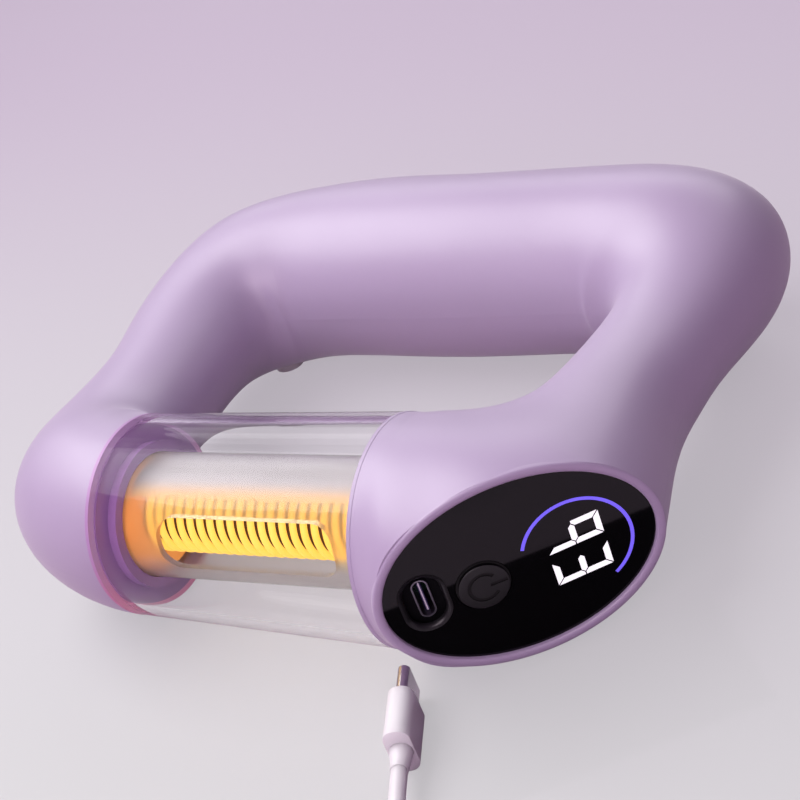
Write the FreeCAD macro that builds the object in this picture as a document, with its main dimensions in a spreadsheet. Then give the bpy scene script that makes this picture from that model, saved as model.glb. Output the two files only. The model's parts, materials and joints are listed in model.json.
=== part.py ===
# Handheld loop heater: a closed plastic loop with a glowing coil in its near bar, a control panel on the
# near right corner and a charge lead beside it.  Millimetres.  It lies flat: +X runs along the heater bar,
# +Y from the heater bar to the grip bar, +Z up, origin on the surface below the middle of the loop.
import FreeCAD, Part
import math
import os
import re
import Sketcher
from FreeCAD import Placement, Rotation, Vector

doc = FreeCAD.newDocument("LoopHeater")
sizes = doc.addObject("Spreadsheet::Sheet", "Sizes")

SIZES = {
    # Loop: where the straight axis lines of the bars and arms meet, and how each is rounded.
    "floor_gap": 0.2,
    "heater_y": -46.55,
    "near_left_x": -58.0,
    "near_right_x": 55.65,
    "far_right_x": 67.55,
    "far_right_y": 47.35,
    "far_left_x": -67.55,
    "far_left_y": 49.75,
    "near_left_bend": 22.0,
    "near_right_bend": 30.0,
    "far_inner_round": 3.3,
    "near_left_swell": 0.2,
    "far_right_swell": 3.2,
    "near_right_fill": 1.5,
    "near_left_radius": 21.4,
    "far_right_radius": 21.2,
    "far_right_neck": 14.6,
    "near_right_neck": 16.4,
    "far_left_radius": 21.3,
    "handle_radius": 22.7,
    "right_arm_radius": 13.9,
    "left_arm_radius": 15.2,
    "left_arm_bow": 0.8,
    "shell_wall": 2.2,
    "fit_gap": 0.15,
    # Clear section of the heater bar, between two square cuts.
    "left_cut_x": -37.65,
    "right_cut_x": 28.55,
    "sleeve_radius": 22.0,
    "sleeve_wide_radius": 23.4,
    "sleeve_drop": 1.4,
    "sleeve_wall": 2.0,
    "spigot_length": 1.6,
    "spigot_gap": 0.3,
    "flange_length": 1.2,
    "collar_radius": 16.0,
    "collar_reach": 3.3,
    # Heater: frosted tube with a slot window, ceramic caps and core, wound wire and its end posts.
    "tube_radius": 13.6,
    "tube_wall": 1.4,
    "window_left_x": -25.85,
    "window_length": 43.3,
    "window_width": 11.7,
    "window_corner": 4.5,
    "window_turn": 14.5,
    "cap_reach": 3.0,
    "core_radius": 6.1,
    "coil_gap": 0.4,
    "coil_wire": 1.5,
    "coil_pitch": 2.6,
    "post_width": 2.2,
    "cutoff_radius": 5.5,
    "cutoff_height": 4.0,
    # Control panel: an oval face cut across the near right corner, and the stack behind it.
    "panel_turn": 36.7,
    "panel_x": 55.45,
    "panel_y": -56.75,
    "rim_long": 28.6,
    "rim_short": 21.3,
    "lens_long": 26.7,
    "lens_short": 19.4,
    "lens_sink": 0.5,
    "lens_thick": 2.0,
    "frame_thick": 3.0,
    "board_drop": 9.0,
    "board_long": 20.0,
    "board_short": 15.0,
    "board_thick": 1.6,
    "post_radius": 1.4,
    "button_along": -7.5,
    "button_rise": -1.0,
    "button_radius": 5.3,
    "button_gap": 0.2,
    "button_flange": 1.0,
    "button_lip": 0.5,
    "button_travel": 0.4,
    "stop_gap": 0.1,
    "stem_radius": 2.2,
    "stem_gap": 0.3,
    "switch_width": 6.0,
    "switch_height": 3.4,
    "plunger_radius": 1.7,
    "plunger_rise": 0.7,
    "plunger_length": 1.5,
    "port_along": -18.8,
    "port_across": 9.6,
    "port_tall": 13.4,
    "port_wall": 0.35,
    "port_depth": 2.3,
    "port_floor": 0.6,
    "socket_width": 8.94,
    "socket_height": 3.26,
    "socket_wall": 0.3,
    "socket_sink": 1.9,
    "socket_margin": 0.9,
    "tongue_width": 6.7,
    "tongue_height": 0.7,
    "tongue_sink": 2.6,
    "display_along": 11.3,
    "display_rise": -0.7,
    "display_radius": 8.6,
    "arc_inner": 10.1,
    "arc_outer": 11.2,
    "arc_start": -60.0,
    "arc_sweep": 220.0,
    "lamp_thick": 2.3,
    # Battery in the grip bar.
    "cell_radius": 9.2,
    "cell_length": 65.0,
    "cell_gap": 0.6,
    "tab_thick": 0.3,
    "tab_width": 9.0,
    "bay_gap": 0.6,
    # Feet, and the screws that they cover.
    "foot_radius": 4.0,
    "foot_height": 4.0,
    "screw_seat": 12.0,
    "screw_head_radius": 2.6,
    "screw_head_height": 1.8,
    "screw_radius": 1.25,
    "screw_length": 20.0,
    # Charge lead: the plug lies on its narrow side, its tip towards the socket.
    "tip_x": 31.55,
    "tip_y": -70.65,
    "plug_heading": -70.4,
    "tip_length": 6.6,
    "tip_width": 8.3,
    "tip_height": 2.4,
    "tip_wall": 0.35,
    "plug_length": 11.5,
    "plug_width": 10.6,
    "plug_height": 5.2,
    "relief_length": 4.5,
    "relief_radius": 2.3,
    "lead_radius": 1.6,
    "lead_step": 3.7,
    "lead_coil_radius": 21.2,
    "tie_thick": 0.5,
    "tie_gap": 0.3,
    "tie_width": 6.0,
    "far_relief_length": 6.0,
    "far_relief_radius": 2.6,
    "far_plug_length": 20.0,
    "far_plug_width": 15.5,
    "far_plug_height": 8.0,
    "far_tip_length": 12.0,
    "far_tip_width": 12.0,
    "far_tip_height": 4.5,
}
for row, (alias, number) in enumerate(SIZES.items(), 1):
    sizes.set(f"A{row}", alias.replace("_", " "))
    sizes.set(f"B{row}", str(number))
    sizes.setAlias(f"B{row}", alias)
doc.recompute()
MID = "(max(sleeve_wide_radius; handle_radius) + floor_gap)"
UP = Vector(0, 0, 1)
ALONG_BAR = Rotation(Vector(0, 1, 0), 90)
UPRIGHT = Rotation()


def size(rule):
    """The value of one cell, or of a rule written with cells."""
    return float(sizes.evalExpression(rule))


def cells(rule):
    """A rule with its words turned into references to the sheet."""
    return re.sub(r"[a-z]+(_[a-z]+)+", r"Sizes.\g<0>", str(rule))


def bind(thing, **rules):
    """Tie properties of an object to the sheet."""
    for name, rule in rules.items():
        thing.setExpression(name, cells(rule))
    return thing


def place(thing, at, turn=UPRIGHT):
    """Stand an object at a point given as three rules."""
    thing.Placement = Placement(Vector(), turn)
    for axis, rule in zip("xyz", at):
        thing.setExpression("Placement.Base." + axis, cells(rule))
    return thing


def box(label, length, width, height, at, turn=UPRIGHT):
    thing = bind(doc.addObject("Part::Box", label), Length=length, Width=width, Height=height)
    return place(thing, at, turn)


def cylinder(label, radius, height, at, turn=UPRIGHT):
    thing = bind(doc.addObject("Part::Cylinder", label), Radius=radius, Height=height)
    return place(thing, at, turn)


def cone(label, start, end, height, at, turn=UPRIGHT):
    thing = bind(doc.addObject("Part::Cone", label), Radius1=start, Radius2=end, Height=height)
    return place(thing, at, turn)


def fuse(label, *pieces):
    thing = doc.addObject("Part::MultiFuse", label)
    thing.Shapes = list(pieces)
    return thing


def cut(label, base, *tools):
    thing = doc.addObject("Part::Cut", label)
    thing.Base = base
    thing.Tool = tools[0] if len(tools) == 1 else fuse(label + "_tools", *tools)
    return thing


def common(label, base, tool):
    thing = doc.addObject("Part::Common", label)
    thing.Base = base
    thing.Tool = tool
    return thing


def group(label, pieces):
    thing = doc.addObject("Part::Compound", label)
    thing.Links = list(pieces)
    return thing


def rounded(label, base, radius):
    """Round the four edges of a box that run along its height."""
    doc.recompute()
    thing = doc.addObject("Part::Fillet", label)
    thing.Base = base
    thing.Edges = [(edge, size(radius), size(radius)) for edge in (1, 3, 5, 7)]
    return thing


def feature(label, shape, spot=Placement()):
    """A piece whose form no plain feature makes."""
    thing = doc.addObject("Part::Feature", label)
    thing.Shape = shape
    thing.Placement = spot
    return thing


def turned(label, corners, at, turn=UPRIGHT):
    """A turned piece: its half profile, as radius and height, revolved about its own upright axis."""
    body = doc.addObject("PartDesign::Body", label)
    sketch = body.newObject("Sketcher::SketchObject", label + "_profile")
    side = next(plane for plane in body.Origin.OriginFeatures if plane.Role == "XZ_Plane")
    sketch.AttachmentSupport = [(side, "")]
    sketch.MapMode = "FlatFace"
    points = [Vector(size(radius), size(height), 0) for radius, height in corners]
    last = len(points) - 1
    for number, point in enumerate(points):
        sketch.addGeometry(Part.LineSegment(point, points[0 if number == last else number + 1]))
    for number in range(len(points)):
        following = 0 if number == last else number + 1
        sketch.addConstraint(Sketcher.Constraint("Coincident", number, 2, following, 1))
    for number, (radius, height) in enumerate(corners):
        for kind, rule in (("DistanceX", radius), ("DistanceY", height)):
            row = sketch.addConstraint(Sketcher.Constraint(kind, -1, 1, number, 1, size(rule)))
            sketch.setExpression(f"Constraints[{row}]", cells(rule))
    spin = body.newObject("PartDesign::Revolution", label + "_turn")
    spin.Profile = sketch
    spin.ReferenceAxis = (sketch, ["V_Axis"])
    spin.Angle = 360
    return place(body, at, turn)


# Loop body: a C-shaped skin over oval sections that swell and turn round four corners.


def flat(x, y):
    """A point of the loop's middle plane."""
    return Vector(x, y, size(MID))


def heading(degrees):
    """Unit vector in the middle plane, turned from +X."""
    return Vector(math.cos(math.radians(degrees)), math.sin(math.radians(degrees)), 0)


class Bend:
    """The arc that rounds one corner of the loop's axis, walked anticlockwise."""

    def __init__(self, before, at, after, radius):
        leave = (before - at).normalize()
        go = (after - at).normalize()
        half = leave.getAngle(go) / 2
        self.radius = radius
        self.pivot = at + (leave + go).normalize() * (radius / math.sin(half))
        self.sweep = math.degrees(math.pi - 2 * half)
        start = at + leave * (radius / math.tan(half)) - self.pivot
        self.start = math.degrees(math.atan2(start.y, start.x))

    def section(self, share, half_width, half_height, shift=0.0):
        """Oval section across the arc, at a share of its sweep."""
        outward = heading(self.start + share * self.sweep)
        return self.pivot + outward * (self.radius + shift), outward, half_width, half_height


near_left = flat(size("near_left_x"), size("heater_y"))
near_right = flat(size("near_right_x"), size("heater_y"))
far_right = flat(size("far_right_x"), size("far_right_y"))
far_left = flat(size("far_left_x"), size("far_left_y"))
near_right_bend = Bend(near_left, near_right, far_right, size("near_right_bend"))
far_right_bend = Bend(near_right, far_right, far_left, size("handle_radius + far_inner_round"))
far_left_bend = Bend(far_right, far_left, near_left, size("handle_radius + far_inner_round"))
near_left_bend = Bend(far_left, near_left, near_right, size("near_left_bend"))

# The panel's own axes: along its length, up, and out of its face.
panel_along = heading(size("panel_turn"))
panel_out = panel_along.cross(UP)
panel_centre = flat(size("panel_x"), size("panel_y"))
ON_PANEL = Rotation(panel_along, UP, panel_out, "XYZ")
SHOULDER = 0.35


def shoulder(corner, side):
    """Radius where a corner passes into the straight run beside it."""
    return SHOULDER * size(corner) + (1 - SHOULDER) * size(side)


neck_radius = size("near_right_neck")


sleeve_left = flat(size("left_cut_x"), size("heater_y"))
sleeve_right = flat(size("right_cut_x"), size("heater_y - sleeve_drop"))
neck = near_right_bend.section(1.0, neck_radius, neck_radius)
web_start = sleeve_right + Vector(0, size("sleeve_wide_radius"), 0)
web_end = neck[0] - neck[1] * neck_radius


def web_point(share):
    """Point of the arc that fills the loop's inner corner, from the sleeve's back to the right arm's neck."""
    run = web_end.x - web_start.x
    rise = web_end.y - web_start.y
    radius = (run ** 2 + rise ** 2) / (2 * rise)
    turn = share * math.asin(run / radius)
    fill = size("near_right_fill") * math.sin(math.pi * share)
    return web_start + Vector(radius * math.sin(turn) - fill / 2, radius * (1 - math.cos(turn)) + fill, 0)


def rim_section(along):
    """Section of the near right corner that the panel's plane cuts to the height of the rim's oval there."""
    bend = near_right_bend
    rim = panel_centre + panel_along * (along * size("rim_long"))
    toward = rim - bend.pivot
    share = (math.degrees(math.atan2(toward.y, toward.x)) - bend.start) / bend.sweep
    blend = (1 - math.cos(math.pi * share)) / 2
    half_height = size("sleeve_wide_radius") * (1 - blend ** 2) + neck_radius * blend ** 2
    inside = web_point(share)
    span = rim - inside
    outward = Vector(span).normalize()
    cut_height = size("rim_short") * math.sqrt(1 - along ** 2)
    beyond = math.sqrt(max(0.0, 1 - (cut_height / half_height) ** 2))
    half_width = max(half_height, span.Length / (1 + beyond))
    return inside + outward * half_width, outward, half_width, half_height


def bend_sections(bend, coming, corner, going, swell=0.0):
    """Three sections round a plain corner: shoulder, middle and shoulder."""
    return [
        bend.section(0.0, coming, coming),
        bend.section(0.5, size(corner) + swell, size(corner), swell),
        bend.section(1.0, going, going),
    ]


def midway(a, b, radius, bow=0.0):
    """Round section halfway along the straight run between two corners of the axis."""
    outward = (b - a).normalize().cross(UP)
    return (a + b) / 2 + outward * bow, outward, size(radius), size(radius)


near = Vector(0, -1, 0)
sections = [(sleeve_right, near, size("sleeve_wide_radius"), size("sleeve_wide_radius"))]
sections += [rim_section(along) for along in (-0.88, -0.5, 0.0, 0.5, 0.88)]
sections += [neck]
sections += [midway(near_right, far_right, "right_arm_radius")]
grip_right = shoulder("far_right_radius", "handle_radius")
sections += bend_sections(
    far_right_bend, size("far_right_neck"), "far_right_radius", grip_right, size("far_right_swell")
)
sections += [midway(far_right, far_left, "handle_radius")]
grip_left = shoulder("far_left_radius", "handle_radius")
arm_top = shoulder("far_left_radius", "left_arm_radius")
sections += bend_sections(far_left_bend, grip_left, "far_left_radius", arm_top)
sections += [midway(far_left, near_left, "left_arm_radius", size("left_arm_bow"))]
arm_foot = shoulder("near_left_radius", "left_arm_radius")
sections += bend_sections(near_left_bend, arm_foot, "near_left_radius", 0.0, size("near_left_swell"))[:2]
sections += [(sleeve_left, near, size("sleeve_radius"), size("sleeve_radius"))]
RING_POINTS = 16


def oval_ring(centre, outward, half_width, half_height):
    """Closed smooth curve through evenly turned points of an oval that stands across the loop's axis."""
    turns = [2 * math.pi * (step + 0.5) / RING_POINTS for step in range(RING_POINTS)]
    points = [
        centre + outward * (half_width * math.cos(turn)) + UP * (half_height * math.sin(turn)) for turn in turns
    ]
    ring = Part.BSplineCurve()
    places = [float(step) for step in range(RING_POINTS + 1)]
    ring.interpolate(Points=points, PeriodicFlag=True, Parameters=places)
    return ring


def loop_solid():
    """The C-shaped body of the loop, skinned over its sections from one cut to the other."""
    rings = [oval_ring(*section) for section in sections]
    places = [0.0]
    for before, after in zip(sections, sections[1:]):
        places.append(places[-1] + before[0].distanceToPoint(after[0]))
    runs = []
    for pole in range(1, rings[0].NbPoles + 1):
        run = Part.BSplineCurve()
        along_bar = Vector(1, 0, 0)
        points = [ring.getPole(pole) for ring in rings]
        run.interpolate(
            Points=points, Parameters=places, InitialTangent=along_bar, FinalTangent=along_bar, Scale=False
        )
        runs.append(run)
    skin = Part.BSplineSurface()
    skin.buildFromPolesMultsKnots(
        [run.getPoles() for run in runs],
        rings[0].getMultiplicities(),
        runs[0].getMultiplicities(),
        rings[0].getKnots(),
        runs[0].getKnots(),
        True,
        False,
        3,
        3,
    )
    ends = [Part.Face(Part.Wire(ring.toShape())) for ring in (rings[0], rings[-1])]
    shell = Part.makeShell([skin.toShape()] + ends)
    shell.sewShape()
    return Part.Solid(shell)


def on_panel(along, out, rise="0"):
    """Three rules for a point given in the panel's own axes, out counted from the rim's plane."""
    return (
        f"panel_x + ({along}) * cos(panel_turn * 1 deg) + ({out}) * sin(panel_turn * 1 deg)",
        f"panel_y + ({along}) * sin(panel_turn * 1 deg) - ({out}) * cos(panel_turn * 1 deg)",
        f"{MID} + ({rise})",
    )


def panel_cylinder(label, radius, along, bottom, top, rise="0"):
    return cylinder(label, radius, f"({top}) - ({bottom})", on_panel(along, bottom, rise), ON_PANEL)


def panel_oval(label, half_long, half_short, bottom, top):
    """Oval plate parallel to the panel's face."""
    ring = bind(doc.addObject("Part::Ellipse", label + "_edge"), MajorRadius=half_long, MinorRadius=half_short)
    place(ring, on_panel("0", bottom), ON_PANEL)
    plate = doc.addObject("Part::Extrusion", label)
    plate.Base = ring
    plate.DirMode = "Custom"
    plate.Dir = panel_out
    plate.Solid = True
    return bind(plate, LengthFwd=f"({top}) - ({bottom})")


LENS_FACE = "-lens_sink"
LENS_BACK = "-lens_sink - lens_thick"
FRAME_BACK = "-lens_sink - lens_thick - frame_thick"
BOARD_FACE = "-lens_sink - board_drop"
BOARD_BACK = "-lens_sink - board_drop - board_thick"
SPARE = "100"
SPAN = "400"

# Hollows of the loop body: the panel's seat and well, the ends for the bulkheads, the battery bay.
panel_side = box("panel_side", SPARE, SPARE, SPARE, on_panel(f"-{SPARE} / 2", "0", f"-{SPARE} / 2"), ON_PANEL)
lens_seat = panel_oval("lens_seat", "lens_long + fit_gap", "lens_short + fit_gap", FRAME_BACK, "0")
board_well = panel_oval("board_well", "board_long + fit_gap", "board_short + fit_gap", BOARD_BACK, "0")


def socket_plate(label, grow, bottom, top):
    """Oblong on the panel round the charging socket, larger by a clearance."""
    across = f"(socket_height + 2 * socket_margin + 2 * {grow})"
    tall = f"(socket_width + 2 * socket_margin + 2 * {grow})"
    at = on_panel(f"port_along - {across} / 2", bottom, f"-{tall} / 2")
    return box(label, across, tall, f"({top}) - ({bottom})", at, ON_PANEL)


socket_well = socket_plate("socket_well", "fit_gap", BOARD_BACK, "0")
AXIS_Y = "heater_y"
DROPPED_Y = "heater_y - sleeve_drop"
left_socket = cylinder(
    "left_socket",
    "sleeve_radius - shell_wall",
    "spigot_length + stop_gap",
    ("left_cut_x - spigot_length - stop_gap", AXIS_Y, MID),
    ALONG_BAR,
)
right_socket = cylinder(
    "right_socket",
    "sleeve_wide_radius - shell_wall",
    "spigot_length + stop_gap",
    ("right_cut_x", DROPPED_Y, MID),
    ALONG_BAR,
)
cutoff_pocket = cylinder(
    "cutoff_pocket",
    "cutoff_radius + spigot_gap",
    "spigot_length + cutoff_height + stop_gap",
    ("right_cut_x", AXIS_Y, MID),
    ALONG_BAR,
)
grip_along = (far_right - far_left).normalize()
GRIP_X = "(far_right_x + far_left_x) / 2"
GRIP_Y = "(far_right_y + far_left_y) / 2"
GRIP_TILT = "(far_right_y - far_left_y) / (far_right_x - far_left_x)"


def on_grip(along, back="0", rise="0"):
    """Three rules for a point given along the grip bar, back from its axis and above it."""
    turn = f"atan({GRIP_TILT})"
    return (
        f"{GRIP_X} + ({along}) * cos({turn}) - ({back}) * sin({turn})",
        f"{GRIP_Y} + ({along}) * sin({turn}) + ({back}) * cos({turn})",
        f"{MID} + ({rise})",
    )


GRIP_TURN = math.degrees(math.atan2(grip_along.y, grip_along.x))
ALONG_GRIP = Rotation(UP, GRIP_TURN).multiply(ALONG_BAR)
FLAT_ON_GRIP = Rotation(UP, GRIP_TURN)
BAY_LENGTH = "cell_length + 2 * tab_thick + 2 * bay_gap"
battery_bay = cylinder(
    "battery_bay", "handle_radius - shell_wall", BAY_LENGTH, on_grip(f"-({BAY_LENGTH}) / 2"), ALONG_GRIP
)

# Under each corner: a round recess for a foot, and above it the hole of a screw that joins the halves.
foot_spots = [
    bend.pivot + heading(bend.start + bend.sweep / 2) * bend.radius
    for bend in (near_right_bend, far_right_bend, far_left_bend, near_left_bend)
]
foot_tools = []
feet = []
screws = []
for number, spot in enumerate(foot_spots, 1):
    at = lambda rise: (str(spot.x), str(spot.y), rise)
    foot_tools += [
        cylinder(f"foot_recess_{number}", "foot_radius + fit_gap", "foot_height", at("0")),
        cylinder(f"head_hole_{number}", "screw_head_radius + fit_gap", "screw_seat", at("0")),
        cylinder(f"screw_hole_{number}", "screw_radius + fit_gap", "screw_seat + screw_length + fit_gap", at("0")),
    ]
    feet += [cylinder(f"foot_{number}", "foot_radius", "foot_height", at("0"))]
    head = cylinder(
        f"screw_head_{number}", "screw_head_radius", "screw_head_height", at("screw_seat - screw_head_height")
    )
    shank = cylinder(f"screw_shank_{number}", "screw_radius", "screw_length", at("screw_seat"))
    screws += [fuse(f"screw_{number}", head, shank)]
foot_pads = group("foot_pads", feet)
shell_screws = group("shell_screws", screws)

loop_skin = feature("loop_skin", loop_solid())
panel_end = cut("panel_end", loop_skin, panel_side, lens_seat, board_well, socket_well)
open_ends = cut("open_ends", panel_end, left_socket, right_socket, cutoff_pocket)
open_grip = cut("open_grip", open_ends, battery_bay)
loop_body = cut("loop_body", open_grip, *foot_tools)
upper_side = box("upper_side", SPAN, SPAN, SPAN, (f"-{SPAN} / 2", f"-{SPAN} / 2", MID))
lower_side = box("lower_side", SPAN, SPAN, SPAN, (f"-{SPAN} / 2", f"-{SPAN} / 2", f"{MID} - {SPAN}"))
upper_shell = common("upper_shell", loop_body, upper_side)
lower_shell = common("lower_shell", loop_body, lower_side)


# Clear sleeve between the cuts: a cone that widens and drops forward from left to right.
SPILL = "5"
SLEEVE_RUN = "(right_cut_x - left_cut_x)"
WIDENING = f"(sleeve_wide_radius - sleeve_radius) / {SLEEVE_RUN}"
ALONG_SLEEVE = Rotation(UP, sleeve_right - sleeve_left)


def sleeve_cone(label, inset):
    """Cone along the sleeve, running past both cuts."""
    return cone(
        label,
        f"sleeve_radius - {inset} - {SPILL} * {WIDENING}",
        f"sleeve_wide_radius - {inset} + {SPILL} * {WIDENING}",
        f"({SLEEVE_RUN} + 2 * {SPILL}) / cos(atan(sleeve_drop / {SLEEVE_RUN}))",
        (f"left_cut_x - {SPILL}", f"heater_y + {SPILL} * sleeve_drop / {SLEEVE_RUN}", MID),
        ALONG_SLEEVE,
    )


between_cuts = box(
    "between_cuts", SLEEVE_RUN, SPARE, SPARE, ("left_cut_x", f"heater_y - {SPARE} / 2", f"{MID} - {SPARE} / 2")
)
sleeve_blank = common("sleeve_blank", sleeve_cone("sleeve_outside", "0"), between_cuts)
clear_sleeve = cut("clear_sleeve", sleeve_blank, sleeve_cone("sleeve_bore", "sleeve_wall"))


# Bulkheads: a spigot in the loop's end, a flange inside the sleeve and a collar round the heater tube.


def bulkhead(label, radius, cut_x, y, side):
    """One end wall; side is 1 where the sleeve lies towards +X of it and -1 on the other end."""
    low = lambda start, length: f"{cut_x} + {start}" if side > 0 else f"{cut_x} - ({start}) - ({length})"
    spigot = cylinder(
        label + "_spigot",
        f"{radius} - shell_wall - spigot_gap",
        "spigot_length",
        (low("-spigot_length", "spigot_length"), y, MID),
        ALONG_BAR,
    )
    flange = cylinder(
        label + "_flange",
        f"{radius} - sleeve_wall - fit_gap",
        "flange_length",
        (low("0", "flange_length"), y, MID),
        ALONG_BAR,
    )
    collar = cylinder(
        label + "_collar", "collar_radius", "collar_reach", (low("0", "collar_reach"), AXIS_Y, MID), ALONG_BAR
    )
    bore = cylinder(
        label + "_bore", "tube_radius + fit_gap", SPAN, (f"{cut_x} - {SPAN} / 2", AXIS_Y, MID), ALONG_BAR
    )
    return cut(label, fuse(label + "_blank", spigot, flange, collar), bore)


left_bulkhead = bulkhead("left_bulkhead", "sleeve_radius", "left_cut_x", AXIS_Y, 1)
right_bulkhead = bulkhead("right_bulkhead", "sleeve_wide_radius", "right_cut_x", DROPPED_Y, -1)

# Heater tube with its slot window, turned up from the front.
TUBE_LEFT = "left_cut_x - spigot_length"
TUBE_RIGHT = "right_cut_x + spigot_length"
TUBE_LENGTH = f"({TUBE_RIGHT}) - ({TUBE_LEFT})"
tube_start = (TUBE_LEFT, AXIS_Y, MID)
tube_outside = cylinder("tube_outside", "tube_radius", TUBE_LENGTH, tube_start, ALONG_BAR)
tube_bore = cylinder("tube_bore", "tube_radius - tube_wall", TUBE_LENGTH, tube_start, ALONG_BAR)
window_block = box(
    "window_block",
    "window_length",
    "window_width",
    "2 * tube_radius",
    (
        "window_left_x",
        "heater_y + window_width / 2 * sin(-window_turn * 1 deg)",
        f"{MID} - window_width / 2 * cos(window_turn * 1 deg)",
    ),
    Rotation(Vector(1, 0, 0), 90 - size("window_turn")),
)
window_slot = rounded("window_slot", window_block, "window_corner")
heater_tube = cut("heater_tube", tube_outside, tube_bore, window_slot)

# Ceramic caps in the tube's ends, and the core between them that the coil stands round.
CAP_LENGTH = "spigot_length + cap_reach"


def end_cap(label, at):
    corners = [
        ("core_radius + fit_gap", "0"),
        ("tube_radius - tube_wall - fit_gap", "0"),
        ("tube_radius - tube_wall - fit_gap", CAP_LENGTH),
        ("core_radius + fit_gap", CAP_LENGTH),
    ]
    return turned(label, corners, (at, AXIS_Y, MID), ALONG_BAR)


left_end_cap = end_cap("left_end_cap", TUBE_LEFT)
right_end_cap = end_cap("right_end_cap", "right_cut_x - cap_reach")
coil_core = cylinder("coil_core", "core_radius", TUBE_LENGTH, tube_start, ALONG_BAR)


# Wound and laid tubes: arcs in pairs through the points of a formula, swept with a six-sided section.


def arc(start, corner, end):
    """Arc that leaves one point for the corner and reaches the other from it, both as far from the corner."""
    middle = (start + end) / 2
    reach = (start - corner).Length
    half = (start - corner).getAngle(end - corner) / 2
    bulge = corner + (middle - corner).normalize() * (reach / math.cos(half) - reach * math.tan(half))
    return Part.Arc(start, bulge, end).toShape()


def biarc(start, leave, end, arrive):
    """Two arcs that meet smoothly, from one point and direction to another."""
    span = end - start
    both = leave + arrive
    spread = 2 * (1 - leave.dot(arrive))
    along = span.dot(both)
    reach = (math.sqrt(along ** 2 + spread * span.dot(span)) - along) / spread
    first = start + leave * reach
    second = end - arrive * reach
    meet = (first + second) / 2
    return [arc(start, first, meet), arc(meet, second, end)]


def wound(points, headings, straight):
    """Path through points with the given headings, with a straight end of the given length at each side."""
    edges = [Part.LineSegment(points[0] - headings[0] * straight, points[0]).toShape()]
    for number in range(len(points) - 1):
        edges += biarc(points[number], headings[number], points[number + 1], headings[number + 1])
    edges += [Part.LineSegment(points[-1], points[-1] + headings[-1] * straight).toShape()]
    return edges


def laid(points):
    """Path along straight runs, each corner rounded as far as its runs allow; prints the radii."""
    edges = []
    radii = []
    reached = points[0]
    for before, corner, after in zip(points, points[1:], points[2:]):
        back = before - corner
        on = after - corner
        reach = 0.45 * min(back.Length, on.Length)
        turn = math.pi - back.getAngle(on)
        radii.append(reach / math.tan(turn / 2))
        start = corner + back.normalize() * reach
        end = corner + on.normalize() * reach
        edges += [Part.LineSegment(reached, start).toShape(), arc(start, corner, end)]
        reached = end
    edges += [Part.LineSegment(reached, points[-1]).toShape()]
    print("bend radii", [round(radius, 1) for radius in radii])
    return edges


SIDES = 6


def tube(label, edges, radius):
    """Solid of a six-sided section along a path; its volume is compared with section times length."""
    path = Part.Wire(edges)
    start = edges[0].Vertexes[0].Point
    ahead = (edges[0].Vertexes[1].Point - start).normalize()
    across = ahead.cross(UP if abs(ahead.z) < 0.9 else Vector(1, 0, 0)).normalize()
    upward = across.cross(ahead)
    turns = [2 * math.pi * (side + 0.5) / SIDES for side in range(SIDES)]
    corners = [
        start + across * (radius * math.sin(turn)) + upward * (radius * math.cos(turn)) for turn in turns
    ]
    solid = path.makePipeShell([Part.makePolygon(corners + corners[:1])], True, False)
    section = SIDES / 2 * radius ** 2 * math.sin(2 * math.pi / SIDES)
    filled = round(solid.Volume / (section * path.Length), 4)
    print(label, "length", round(path.Length, 1), "volume ratio", filled)
    return feature(label, solid)


def least_gap(label, points, spacing, thick, apart):
    """Least gap of a wound tube to itself, measured between points at least a stretch of path apart."""
    skip = int(apart / spacing)
    least = min(
        points[a].distanceToPoint(points[b]) for a in range(len(points)) for b in range(a + skip, len(points))
    )
    print(label, "least gap to itself", round(least - thick, 2))


# Heating coil: turns of one wire round the core, its ends in two posts on the caps.
coil_radius = size("core_radius + coil_gap + coil_wire / 2")
coil_start = size("left_cut_x + cap_reach + coil_wire")
coil_room = size("right_cut_x - cap_reach - coil_wire") - coil_start
coil_turns = int(coil_room / size("coil_pitch"))
heater_axis = Vector(0, size("heater_y"), size(MID))


def coil_point(turns):
    angle = 2 * math.pi * turns
    along = Vector(coil_start + size("coil_pitch") * turns, 0, 0)
    return heater_axis + along + Vector(0, math.cos(angle), math.sin(angle)) * coil_radius


def slope(point, turns):
    """Heading of a wound path at a number of turns."""
    return (point(turns + 0.001) - point(turns - 0.001)).normalize()


coil_steps = [step / 2 for step in range(2 * coil_turns + 1)]
coil_headings = [UP] + [slope(coil_point, turns) for turns in coil_steps[1:-1]] + [UP]
coil_edges = wound([coil_point(turns) for turns in coil_steps], coil_headings, size("coil_wire"))
heating_coil = tube("heating_coil", coil_edges, size("coil_wire") / 2)
fine = [coil_point(step / 40) for step in range(40 * coil_turns + 1)]
least_gap("heating_coil", fine, fine[0].distanceToPoint(fine[1]), size("coil_wire"), math.pi * coil_radius)
POST_REACH = "coil_wire / 2 + stop_gap"
POST_Y = "heater_y + core_radius + coil_gap + coil_wire / 2 - post_width / 2"
left_terminal = box(
    "left_terminal",
    f"coil_wire + {POST_REACH}",
    "post_width",
    "post_width",
    ("left_cut_x + cap_reach", POST_Y, f"{MID} - coil_wire - post_width"),
)
RIGHT_POST = f"right_cut_x - cap_reach - left_cut_x - cap_reach - coil_wire - coil_pitch * {coil_turns}"
right_terminal = box(
    "right_terminal",
    f"{RIGHT_POST} + {POST_REACH}",
    "post_width",
    "post_width",
    (f"right_cut_x - cap_reach - ({RIGHT_POST} + {POST_REACH})", POST_Y, f"{MID} + coil_wire"),
)
thermal_cutoff = cylinder(
    "thermal_cutoff", "cutoff_radius", "cutoff_height", (TUBE_RIGHT, AXIS_Y, MID), ALONG_BAR
)

# Panel: black cover, its frame, and the button, socket and lamps that the frame carries.


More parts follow.
